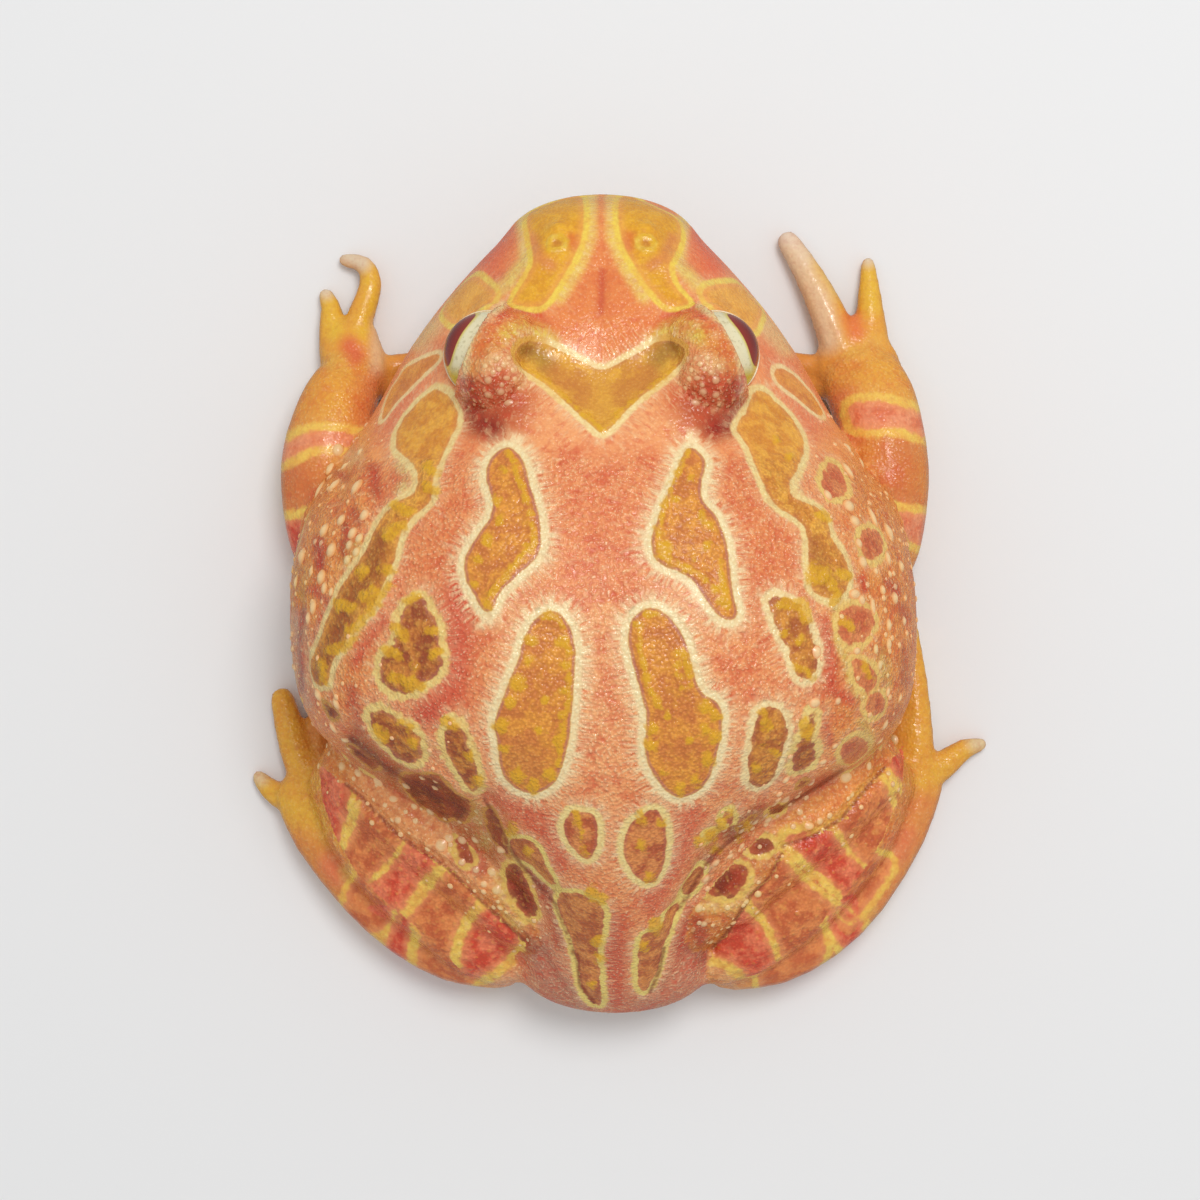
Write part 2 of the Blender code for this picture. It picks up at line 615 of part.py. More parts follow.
def build():
    clear_scene()
    skin = material("skin", SKIN_COLOUR, 0.45)
    limbs = material("limb_skin", LIMB_COLOUR, 0.45)
    throat = material("throat_skin", THROAT_COLOUR, 0.5)
    cornea = material("eye", EYE_COLOUR, 0.1)
    body, skull, jaw = torso(skin), head(skin), lower_jaw(throat)
    apply_boolean(skull, "UNION", [lower_lid(LEFT), lower_lid(RIGHT)])
    for side in (LEFT, RIGHT):
        eye = eyeball(side, cornea)
        lid = upper_lid(side, eye, skin)
        carve(skull, eye, lid)
    add_nostrils(skull)
    trunk = whole_trunk()
    for side in (LEFT, RIGHT):
        thigh, shank = leg(side, limbs)
        sole = foot(side, limbs)
        carve(thigh, trunk)
        carve(shank, trunk, thigh)
        carve(sole, trunk, thigh, shank)
        upper, fore = arm(side, limbs)
        palm = hand(side, limbs)
        carve(body, upper)
        carve(fore, trunk, upper)
        carve(palm, trunk, fore)
    bpy.data.objects.remove(trunk, do_unlink=True)


build()
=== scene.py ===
"""An argentine horned frog of the orange form, at rest on a pale floor and seen from straight above."""
import math

import bpy
import numpy as np
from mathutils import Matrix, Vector
from mathutils.bvhtree import BVHTree
from mathutils.kdtree import KDTree


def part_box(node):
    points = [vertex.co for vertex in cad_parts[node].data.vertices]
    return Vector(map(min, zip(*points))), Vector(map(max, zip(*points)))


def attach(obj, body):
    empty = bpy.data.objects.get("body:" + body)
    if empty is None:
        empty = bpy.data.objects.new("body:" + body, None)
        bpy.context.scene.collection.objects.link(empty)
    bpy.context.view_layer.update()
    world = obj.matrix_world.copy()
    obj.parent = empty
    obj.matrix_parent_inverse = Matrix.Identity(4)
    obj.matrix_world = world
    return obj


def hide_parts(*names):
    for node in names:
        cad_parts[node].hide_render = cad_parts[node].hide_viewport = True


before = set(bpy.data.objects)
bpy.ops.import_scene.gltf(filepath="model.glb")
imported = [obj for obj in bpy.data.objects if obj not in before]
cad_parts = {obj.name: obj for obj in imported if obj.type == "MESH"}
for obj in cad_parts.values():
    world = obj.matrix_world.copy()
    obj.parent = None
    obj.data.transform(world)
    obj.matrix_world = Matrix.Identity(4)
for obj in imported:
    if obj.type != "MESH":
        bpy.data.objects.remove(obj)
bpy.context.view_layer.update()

# The camera looks straight down from a little under half a metre, with the frog's head at the top of
# the picture. Places that are read off the photograph are given in its pixels, 1200 to a side, and are
# carried along the line of sight onto the surface that they lie on.
MM = 0.001
PHOTO_MIDDLE = 600
CAMERA_PLACE = Vector((2.8, -1.1, 475.0)) * MM
LENS = 100.0
SENSOR = 36.0
PIXEL = SENSOR / LENS / (2 * PHOTO_MIDDLE)

camera = bpy.data.objects.new("camera", bpy.data.cameras.new("camera"))
camera.data.lens = LENS
camera.data.sensor_width = SENSOR
camera.data.clip_start = 0.01
camera.location = CAMERA_PLACE
camera.rotation_euler = (0, 0, math.pi)
bpy.context.scene.collection.objects.link(camera)
bpy.context.scene.camera = camera


def photo_pixels(points):
    """The pixel of the photograph at which each point shows."""
    pixel = (CAMERA_PLACE.z - points[:, 2]) * PIXEL
    across = PHOTO_MIDDLE - (points[:, 0] - CAMERA_PLACE.x) / pixel
    down = PHOTO_MIDDLE + (points[:, 1] - CAMERA_PLACE.y) / pixel
    return np.column_stack((across, down))


def sight_line(spot):
    """The direction in which the camera sees a pixel of the photograph."""
    across, down = spot
    return Vector(((PHOTO_MIDDLE - across) * PIXEL, (down - PHOTO_MIDDLE) * PIXEL, -1)).normalized()


# The hide is one soft, loose skin over the whole frog, from the snout to the toes. It is grown from the
# solids of the flesh: they are puffed out until their gaps close, made one surface, smoothed where
# flesh is broad and left crisp at the lids and toes, and drawn in again by what they were puffed out.
EYES = {"left": "eye_left", "right": "eye_right"}
FLESH = sorted(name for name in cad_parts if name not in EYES.values())
PUFF = 0.25 * MM
VOXEL = 0.38 * MM
WELD = 0.002 * MM
SMOOTHING_ROUNDS = 50
SOFTNESS = {
    "torso": 1.0, "head": 0.7, "lower_jaw": 0.7, "upper_lid": 0.25, "upper_arm": 0.8, "forearm": 0.6,
    "hand": 0.12, "thigh": 0.7, "shank": 0.6, "foot": 0.12,
}
# The lids stay crisp within their clearance of an eye's middle, and their edge stays as the solid has it.
LID_CLEARANCE = 9.0 * MM
LID_SOFTNESS = 0.15
LID_EDGE = 1.2 * MM
LEAST_SOFTNESS = 0.04


def read(collection, field, width, kind=np.float32):
    """One field of every item of a mesh's collection, as rows of numbers."""
    values = np.empty(len(collection) * width, kind)
    collection.foreach_get(field, values)
    return values.reshape(-1, width)


def corners_and_triangles(mesh):
    mesh.calc_loop_triangles()
    triangles = read(mesh.loop_triangles, "vertices", 3, np.int32)
    return read(mesh.vertices, "co", 3).astype(float), triangles


def welded(node):
    """A node's corners and triangles, with the corners that its triangles share made one."""
    corners, triangles = corners_and_triangles(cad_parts[node].data)
    steps = np.round(corners / WELD).astype(np.int64)
    kept, merged = np.unique(steps, axis=0, return_index=True, return_inverse=True)[1:]
    return corners[kept], merged.reshape(-1)[triangles]


def outward(points, triangles):
    """The direction in which the surface faces at each point."""
    first, second, third = (points[triangles[:, k]] for k in range(3))
    facing = np.cross(second - first, third - first)
    total = np.zeros((len(points), 3))
    for axis in range(3):
        for k in range(3):
            total[:, axis] += np.bincount(triangles[:, k], facing[:, axis], len(points))
    return total / np.maximum(np.linalg.norm(total, axis=1, keepdims=True), 1e-12)


def relaxed(values, edges, weight, rounds):
    """Values drawn towards the mean of their neighbours, each by its own weight."""
    one, other = edges.T
    size = len(values)
    neighbours = np.bincount(edges.ravel(), minlength=size)
    columns = values.reshape(size, -1).copy()
    for _ in range(rounds):
        for column in columns.T:
            total = np.bincount(one, column[other], size) + np.bincount(other, column[one], size)
            column += weight * (total / neighbours - column)
    return columns.reshape(values.shape)


def by_form(table):
    """The value that a table gives for the form of each node of flesh."""
    return np.array([next(table[form] for form in table if node.startswith(form)) for node in FLESH])


def plain_object(name, mesh):
    made = bpy.data.objects.new(name, mesh)
    bpy.context.scene.collection.objects.link(made)
    return made


def with_modifier(source, kind, **settings):
    """The mesh that an object has under one modifier, which is then taken off it again."""
    modifier = source.modifiers.new("change", kind)
    for field, value in settings.items():
        setattr(modifier, field, value)
    evaluated = source.evaluated_get(bpy.context.evaluated_depsgraph_get())
    mesh = bpy.data.meshes.new_from_object(evaluated)
    source.modifiers.remove(modifier)
    return mesh


solid_points, solid_triangles, triangle_nodes = [], [], []
puffed_points = []
first_free = 0
for number, node in enumerate(FLESH):
    points, triangles = welded(node)
    solid_points.append(points)
    puffed_points.append(points + outward(points, triangles) * PUFF)
    solid_triangles.append(triangles + first_free)
    triangle_nodes.append(np.full(len(triangles), number))
    first_free += len(points)
solid_points, puffed_points = np.concatenate(solid_points), np.concatenate(puffed_points)
solid_triangles, triangle_nodes = np.concatenate(solid_triangles), np.concatenate(triangle_nodes)

flesh_mesh = bpy.data.meshes.new("flesh")
flesh_mesh.from_pydata(puffed_points.tolist(), [], solid_triangles.tolist())
flesh = plain_object("flesh", flesh_mesh)
hide_mesh = with_modifier(flesh, "REMESH", mode="VOXEL", voxel_size=VOXEL, adaptivity=0)
bpy.data.objects.remove(flesh)

points, triangles = corners_and_triangles(hide_mesh)
edges = read(hide_mesh.edges, "vertices", 2, np.int32)
solid_tree = BVHTree.FromPolygons(solid_points.tolist(), solid_triangles.tolist())
node_of = triangle_nodes[[solid_tree.find_nearest(point)[2] for point in points]]
eye_centres = {side: np.array(sum(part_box(node), Vector()) / 2) for side, node in EYES.items()}
eye_radius = (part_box("eye_left")[1].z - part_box("eye_left")[0].z) / 2

softness = by_form(SOFTNESS)[node_of]
from_eye = np.min([np.linalg.norm(points - centre, axis=1) for centre in eye_centres.values()], axis=0)
softness = np.where(from_eye < LID_CLEARANCE, np.minimum(softness, LID_SOFTNESS), softness)
softness = relaxed(softness, edges, 0.8, 8)
off_edge = np.clip((from_eye - eye_radius - LID_EDGE) / LID_EDGE, 0, 1)
softness *= LEAST_SOFTNESS + (1 - LEAST_SOFTNESS) * off_edge
points = relaxed(points, edges, 0.5 * softness, SMOOTHING_ROUNDS)
points -= outward(points, triangles) * PUFF * np.clip(softness * 2.5, 0.3, 1)[:, None]


# The hide is worked like clay where the flesh under it folds: the line of the mouth with its lips, the
# rims of the lids, the nostrils, the ridge from nostril to eye, the dip between the eyes, the creases
# where the thighs, shanks and arms press on the body, and the loose folds of the flanks and rump.
# The mouth's groove has a reach and a lift in mm, its roll a place off the mouth, a half width and a lift,
# and the lid's rim a reach and a lift.
GROOVE_REACH, GROOVE_LIFT = 0.9, -0.45
ROLL_PLACE, ROLL_HALF_WIDTH, ROLL_LIFT = 1.9, 0.7, 0.30
RIM_REACH, RIM_LIFT = 1.1, 0.22
MOUTH_SEARCH = 4
SEEN_FROM_ABOVE = 0.05
# Each stroke is a path in the photograph, its half width there in pixels and how far it lifts, in mm.
TRUNK_STROKES = {
    "nostril left": (((555, 243), (559, 243)), 3, -0.14),
    "nostril right": (((644, 243), (648, 243)), 3, -0.14),
    "canthus left": (((540, 258), (520, 274), (500, 291), (486, 308)), 8, 0.45),
    "canthus right": (((662, 258), (682, 274), (702, 291), (717, 308)), 8, 0.45),
    "snout furrow": (((602, 268), (601, 318)), 5, -0.22),
    "brow crease left": (((504, 309), (520, 304), (535, 311), (551, 341)), 4, -0.40),
    "brow crease right": (((699, 309), (683, 304), (667, 311), (651, 341)), 4, -0.40),
    "brow left": (((492, 332), (508, 326), (524, 328), (538, 336)), 9, 0.45),
    "brow right": (((712, 332), (696, 326), (680, 328), (665, 336)), 9, 0.45),
    "hollow left": (((531, 350), (540, 356), (552, 362)), 12, -0.55),
    "hollow right": (((671, 350), (662, 356), (650, 362)), 12, -0.55),
    "dip of the V": (((560, 366), (602, 398), (642, 366)), 16, -0.35),
    "granule ridge left": (((494, 354), (504, 358), (512, 366), (518, 378)), 5, 0.40),
    "granule ridge right": (((712, 354), (702, 358), (694, 366), (688, 378)), 5, 0.40),
    "lid mound left": (((490, 392), (508, 400)), 24, 0.95),
    "lid mound right": (((714, 392), (698, 400)), 24, 0.95),
    "temple pinch left": (((462, 424), (478, 424), (494, 428)), 7, -0.40),
    "temple pinch right": (((744, 424), (728, 424), (712, 428)), 7, -0.40),
    "nape fold left": (((410, 497), (440, 503), (478, 503)), 5, -0.30),
    "nape fold right": (((795, 500), (765, 503), (722, 500)), 5, -0.30),
    "flank fold left": (((352, 738), (378, 762), (402, 778), (432, 790), (462, 812), (490, 838)), 8, -1.0),
    "flank roll left": (((366, 736), (398, 762), (432, 775), (470, 800)), 7, 0.45),
    "flank fold right": (((842, 770), (812, 790), (775, 812), (738, 838), (706, 866)), 7, -0.55),
    "flank roll right": (((838, 756), (802, 782), (762, 802), (728, 826)), 7, 0.45),
    "hip fold left": (((486, 800), (496, 818), (506, 842), (524, 866), (548, 892)), 7, -0.9),
    "hip fold right": (((732, 832), (716, 850), (702, 868), (690, 890), (676, 912)), 6, -0.8),
    "rump line left": (((556, 890), (568, 925), (577, 955), (580, 985), (594, 1002)), 4, -0.35),
    "rump line right": (((684, 900), (672, 925), (664, 948), (659, 972), (650, 992)), 4, -0.35),
    "rump pleat left": (((540, 950), (552, 975), (570, 996)), 4, -0.40),
    "rump pleat right": (((690, 950), (676, 975), (662, 992)), 4, -0.40),
    "side fold left": (((299, 596), (302, 640), (309, 694)), 3, -0.45),
    "side fold outer left": (((292, 606), (295, 650), (302, 700)), 3, -0.40),
    "shoulder fold left": (((352, 430), (346, 462), (336, 500)), 5, -0.5),
    "shoulder fold right": (((858, 420), (866, 455), (872, 500)), 5, -0.5),
    "armpit roll left": (((372, 448), (366, 470), (360, 498)), 6, 0.35),
    "armpit roll right": (((842, 440), (848, 468), (852, 498)), 6, 0.35),
}
# The creases between thigh and shank and between shank and foot, from the knee to the heel.
CREASES = {
    "thigh left": ((346, 784), (359, 795), (378, 814), (397, 834), (420, 850), (447, 867), (475, 895),
        (509, 926), (524, 940)),
    "foot left": ((322, 800), (334, 835), (347, 858), (358, 874), (375, 893), (400, 913), (420, 930),
        (440, 950), (462, 972), (490, 990)),
    "thigh right": ((884, 768), (876, 777), (858, 798), (841, 819), (813, 836), (782, 846)),
    "heel right": ((782, 853), (769, 878), (751, 895), (727, 933), (712, 948)),
    "foot right": ((903, 790), (893, 815), (885, 835), (868, 864), (846, 895), (829, 912), (812, 935),
        (790, 955), (755, 975), (725, 985)),
}
LIMB_STROKES = {
    "wrist fold left": (((318, 362), (340, 366), (366, 374)), 4, -0.25),
    "wrist fold right": (((886, 352), (868, 358), (842, 372)), 4, -0.25),
    "elbow fold left": (((292, 508), (300, 500), (306, 488)), 4, -0.3),
    "elbow fold right": (((922, 506), (910, 500), (896, 494)), 4, -0.3),
    "valley filled left": (((336, 802), (362, 826), (400, 858), (440, 892), (480, 924), (505, 942)), 10,
        0.75),
    "valley filled right": (((893, 788), (865, 812), (835, 840), (800, 866), (765, 895), (738, 920)), 10,
        0.75),
    "thigh crease left": (CREASES["thigh left"], 4, -0.75),
    "thigh crease right": (CREASES["thigh right"], 4, -0.75),
    "heel crease right": (CREASES["heel right"], 4, -0.6),
    "foot valley left": (CREASES["foot left"][1:9], 7, 0.45),
    "foot valley right": (CREASES["foot right"][1:9], 7, 0.45),
}
# The gold ridges and beads stand up inside the patches. A ridge is a path and its half width, and a bead is
# its pixel and its radius, all in the photograph's pixels.
RIDGE_LIFT = 0.38
GOLD_RIDGES = {
    "upper back left": (((508, 452), (519, 478), (529, 508), (534, 542), (519, 560), (497, 584),
        (487, 602)), 3),
    "upper back left foot": (((488, 600), (489, 608)), 4),
    "upper back right": (((688, 452), (679, 472), (665, 502), (658, 530), (661, 556), (680, 566),
        (706, 578)), 3),
    "upper back right tip": (((720, 562), (723, 584), (729, 608)), 3),
    "upper back right side": (((700, 512), (712, 530)), 3),
    "lower back left top": (((540, 618), (552, 616), (563, 626)), 3),
    "lower back left rim": (((568, 640), (569, 690), (563, 735), (558, 765)), 2),
    "lower back right": (((638, 622), (640, 650), (647, 682), (658, 706)), 3),
    "lower back right top": (((646, 613), (660, 615)), 3),
    "lower back right ring": (((678, 652), (676, 672), (682, 688), (690, 686), (689, 664), (683, 652)), 3),
    "rear small left": (((576, 813), (579, 824), (582, 834)), 3),
    "rear small right": (((641, 812), (643, 822)), 4),
    "temple blob 1": (((366, 598), (376, 601)), 7),
    "temple blob 2": (((338, 604), (350, 607)), 6),
    "temple blob 3": (((350, 630), (360, 623), (370, 612)), 5),
    "temple blob 4": (((330, 650), (344, 647), (352, 639)), 5),
    "temple blob 5": (((322, 662), (324, 682)), 4),
    "temple blob 6": (((384, 568), (393, 572)), 5),
    "temple blob 7": (((373, 590), (382, 595), (390, 585)), 4),
    "temple blob 8": (((388, 536), (400, 527)), 6),
    "temple blob 9": (((392, 504), (410, 512)), 5),
    "temple blob 10": (((428, 466), (436, 474)), 5),
    "temple blob 11": (((427, 486), (436, 492)), 5),
    "flank blob 1": (((406, 601), (416, 597)), 5),
    "flank blob 2": (((395, 627), (404, 635)), 6),
    "flank blob 3": (((427, 631), (434, 632)), 4),
    "flank blob 4": (((386, 650), (398, 656)), 5),
    "flank blob 5": (((431, 655), (440, 652)), 4),
    "flank blob 6": (((392, 677), (403, 680)), 5),
    "flank blob 7": (((406, 683), (420, 687)), 6),
    "flank low blob 1": (((377, 730), (384, 738)), 5),
    "flank low blob 2": (((409, 741), (415, 745)), 4),
    "flank low blob 3": (((402, 722), (411, 727)), 4),
    "flank rear blob": (((446, 722), (454, 726)), 5),
    "right temple blob 1": (((820, 514), (828, 518)), 4),
    "right temple blob 2": (((812, 566), (824, 572), (836, 590), (834, 600)), 5),
    "right temple blob 3": (((838, 572), (848, 576)), 4),
    "right temple blob 4": (((808, 578), (820, 582)), 4),
    "right flank blob 1": (((782, 604), (802, 604), (806, 618)), 6),
    "right flank blob 2": (((796, 666), (808, 670), (812, 677)), 3),
    "right flank blob 3": (((764, 714), (767, 726)), 5),
    "right flank blob 4": (((806, 722), (808, 736)), 6),
    "right flank blob 5": (((844, 622), (850, 626)), 5),
    "right flank blob 6": (((864, 662), (870, 678)), 3),
    "V tail": (((588, 416), (603, 430), (618, 416)), 2),
    "V low left": (((530, 371), (546, 381), (562, 394), (576, 408), (588, 420)), 1),
    "V low right": (((676, 366), (660, 380), (645, 390), (630, 403), (618, 416)), 1),
    "nostril ring left": (((548, 244), (552, 237), (560, 236), (566, 240), (565, 247), (557, 250),
        (550, 249), (548, 244)), 1),
    "nostril ring right": (((637, 240), (643, 236), (650, 237), (655, 243), (653, 249), (646, 250),
        (638, 247), (637, 240)), 1),
}
GOLD_BEADS = (
    (496, 500, 4), (500, 520, 4), (487, 540, 4), (478, 560, 4), (474, 585, 3), (505, 470, 3), (528, 550, 4),
    (690, 480, 3), (676, 500, 3), (706, 545, 4), (722, 600, 5), (716, 590, 4), (668, 548, 4), (694, 560, 3),
    (530, 640, 5), (528, 660, 4), (517, 683, 6), (510, 702, 5), (501, 725, 6), (504, 748, 4), (518, 775, 6),
    (535, 787, 5), (550, 774, 5), (558, 740, 5), (561, 715, 4), (564, 690, 4), (565, 665, 4), (563, 641, 5),
    (545, 700, 3), (538, 730, 3), (652, 730, 5), (651, 747, 5), (705, 706, 5), (716, 716, 4), (704, 729, 5),
    (714, 737, 5), (708, 760, 6), (696, 780, 5), (680, 789, 5), (662, 772, 4), (668, 715, 3), (690, 740, 3),
    (586, 851, 4), (641, 846, 4), (650, 877, 4), (660, 822, 3), (414, 668, 3), (470, 756, 4), (478, 782, 5),
    (784, 632, 3), (800, 640, 4), (762, 744, 3), (776, 752, 4), (757, 768, 4), (362, 572, 6), (776, 440, 3),
    (790, 456, 3), (512, 830, 5), (528, 852, 4), (592, 893, 6), (602, 900, 4), (598, 942, 5), (600, 960, 4),
    (644, 946, 4), (655, 926, 6), (592, 985, 3), (700, 842, 5), (710, 836, 5), (722, 824, 5), (730, 812, 4),
    (716, 850, 4), (738, 838, 3), (748, 826, 4),
)


def bell(distance, reach):
    """One at no distance, falling smoothly to nothing at the reach."""
    return (1 - np.clip(distance / reach, 0, 1) ** 2) ** 2


def path_distance(spots, path):
    """How far each spot lies from a path of straight lines, and how far along the path that is."""
    nearest = np.full(len(spots), np.inf)
    along = np.zeros(len(spots))
    passed = 0.0
    for start, end in zip(path, path[1:]):
        start, step = np.array(start, float), np.array(end, float) - start
        length = np.linalg.norm(step)
        share = np.clip((spots - start) @ step / length ** 2, 0, 1)
        gap = np.linalg.norm(spots - start - share[:, None] * step, axis=1)
        closer = gap < nearest
        nearest[closer] = gap[closer]
        along[closer] = passed + share[closer] * length
        passed += length
    return nearest, along


def around(pixels, path, reach):
    """Which pixels lie in the box round a path, widened by a reach."""
    low, high = np.min(path, axis=0) - reach, np.max(path, axis=0) + reach
    return (pixels > low).all(axis=1) & (pixels < high).all(axis=1)


def node_distance(points, node, reach):
    """How far each point lies from one solid, up to a reach."""
    number = FLESH.index(node)
    tree = BVHTree.FromPolygons(solid_points.tolist(), solid_triangles[triangle_nodes == number].tolist())
    found = (tree.find_nearest(point, reach)[3] for point in points)
    return np.array([reach if gap is None else gap for gap in found])


def is_part(node_of, *forms):
    return np.isin(node_of, [k for k, node in enumerate(FLESH) if node.startswith(forms)])


LIMBS = ("upper_arm", "forearm", "hand", "thigh", "shank", "foot")
facing = outward(points, triangles)
pixels = photo_pixels(points)
on_limb = is_part(node_of, *LIMBS)
lift = np.zeros(len(points))
for strokes, here in ((TRUNK_STROKES, ~on_limb), (LIMB_STROKES, on_limb)):
    here = here & (facing[:, 2] > SEEN_FROM_ABOVE)
    for path, half_width, stroke_lift in strokes.values():
        near = here & around(pixels, path, 2 * half_width)
        lift[near] += stroke_lift * bell(path_distance(pixels[near], path)[0], 2 * half_width)

raised = np.zeros(len(points))
here = ~on_limb & (facing[:, 2] > SEEN_FROM_ABOVE)
for path, half_width in GOLD_RIDGES.values():
    near = here & around(pixels, path, 3 * half_width)
    raised[near] = np.maximum(raised[near], bell(path_distance(pixels[near], path)[0], 2.2 * half_width))
for across, down, radius in GOLD_BEADS:
    near = here & around(pixels, [(across, down)], 2 * radius)
    gap = np.linalg.norm(pixels[near] - (across, down), axis=1)
    raised[near] = np.maximum(raised[near], bell(gap, 1.5 * radius))
lift += RIDGE_LIFT * raised

near_mouth = is_part(node_of, "head", "lower_jaw", "torso")
from_mouth = np.full(len(points), 2.0 * MOUTH_SEARCH)
from_mouth[near_mouth] = np.maximum(node_distance(points[near_mouth], "head", MOUTH_SEARCH * MM),
                                    node_distance(points[near_mouth], "lower_jaw", MOUTH_SEARCH * MM)) / MM
lift += GROOVE_LIFT * bell(from_mouth, GROOVE_REACH)
lift += ROLL_LIFT * bell(np.abs(from_mouth - ROLL_PLACE), ROLL_HALF_WIDTH * 2) * (from_mouth < MOUTH_SEARCH)

for centre in eye_centres.values():
    outwards = points - centre
    away = np.linalg.norm(outwards, axis=1)
    turned_out = np.einsum("ij,ij->i", outwards, facing) / away > 0.25
    lift += RIM_LIFT * bell((away - eye_radius) / MM, RIM_REACH) * turned_out
points += facing * (relaxed(lift, edges, 0.5, 2) * MM)[:, None]
points[:, 2] = np.maximum(points[:, 2], 0)

# The surface is thinned to what a model of this size needs. The head, the toes and the back keep the most
# triangles and the belly the fewest.
SKIN_TRIANGLES = 190000
THINNING = {
    "torso": 0.5, "head": 0.12, "lower_jaw": 0.6, "upper_lid": 0.0, "upper_arm": 0.6, "forearm": 0.4,
    "hand": 0.3, "thigh": 0.4, "shank": 0.3, "foot": 0.3,
}
thinning = np.where(outward(points, triangles)[:, 2] < -0.2, 1.0, by_form(THINNING)[node_of])
hide_mesh.vertices.foreach_set("co", points.astype(np.float32).ravel())
hide = plain_object("hide", hide_mesh)
thinning_group = hide.vertex_groups.new(name="thinning")
for level in np.unique(thinning):
    thinning_group.add(np.flatnonzero(thinning == level).tolist(), float(level), "REPLACE")
skin_mesh = with_modifier(hide, "DECIMATE", ratio=SKIN_TRIANGLES / len(triangles), vertex_group="thinning",
                          vertex_group_factor=1.0, use_collapse_triangulate=True)
bpy.data.objects.remove(hide)
thinned = read(skin_mesh.vertices, "co", 3)
thinned[:, 2] = np.maximum(thinned[:, 2], 0)
skin_mesh.vertices.foreach_set("co", thinned.ravel())
skin_mesh.shade_smooth()
skin = plain_object("skin", skin_mesh)

# The pattern lies in the hide itself: patches of granular gold brown, each with a pale fringed rim, on a
# salmon ground, and on the limbs salmon bands with yellow edges. Each patch is an outline in the
# photograph, rounded off and laid on the hide along the lines of sight.
# A look is the two colours inside, the colour of the rim, the rim's width in mm, how plain the line inside
# the rim is, how far the rim frays and how ragged the edge is.
LOOKS = {
    "back": ("#EEA040", "#DA8440", "#F8E4B0", 1.05, 0.8, 1.0, 0.35),
    "V": ("#F0B43E", "#D8943A", "#F8E0A0", 0.85, 0.2, 0.45, 0.3),
    "snout": ("#EEB030", "#E6A22A", "#F4D456", 0.85, 0.0, 0.25, 0.3),
    "lip": ("#F4B452", "#ECA648", "#F2D668", 0.9, 0.0, 0.2, 0.4),
    "temple": ("#F0AE44", "#DE9238", "#F2DA96", 1.0, 0.15, 0.35, 0.7),
    "cheek": ("#EC9E48", "#DA843C", "#F6DAA0", 0.8, 0.0, 0.3, 0.6),
    "flank": ("#D68A3C", "#A2542E", "#F0D484", 1.1, 0.45, 0.35, 1.3),
    "flank right": ("#E49A42", "#BE7036", "#F8E0A6", 1.0, 0.35, 0.5, 1.1),
    "spot": ("#E68E56", "#D46A42", "#EECA74", 0.85, 0.0, 0.3, 1.3),
    "rear small": ("#EA9654", "#C4623A", "#F4DC94", 0.95, 0.35, 0.7, 0.5),
    "rear": ("#E69650", "#C0683A", "#EED67A", 0.85, 0.25, 0.5, 0.9),
    "dark": ("#AE4024", "#7A2812", "#ECC868", 0.8, 0.0, 0.3, 1.3),
    # The dark brown inside of the fold look is painted shade laid into the deep folds.
    "fold": ("#A04420", "#6C220C", "#C89044", 0.5, 0.0, 0.3, 2.4),
    "band": ("#F2805A", "#DA4A32", "#F4CE60", 1.3, 0.0, 0.08, 1.15),
    "arm band": ("#F29A70", "#E67C54", "#F2C85C", 1.2, 0.0, 0.08, 1.0),
    "brown": ("#EA8E50", "#D06A3C", "#F2CA5C", 0.85, 0.0, 0.08, 1.15),
}
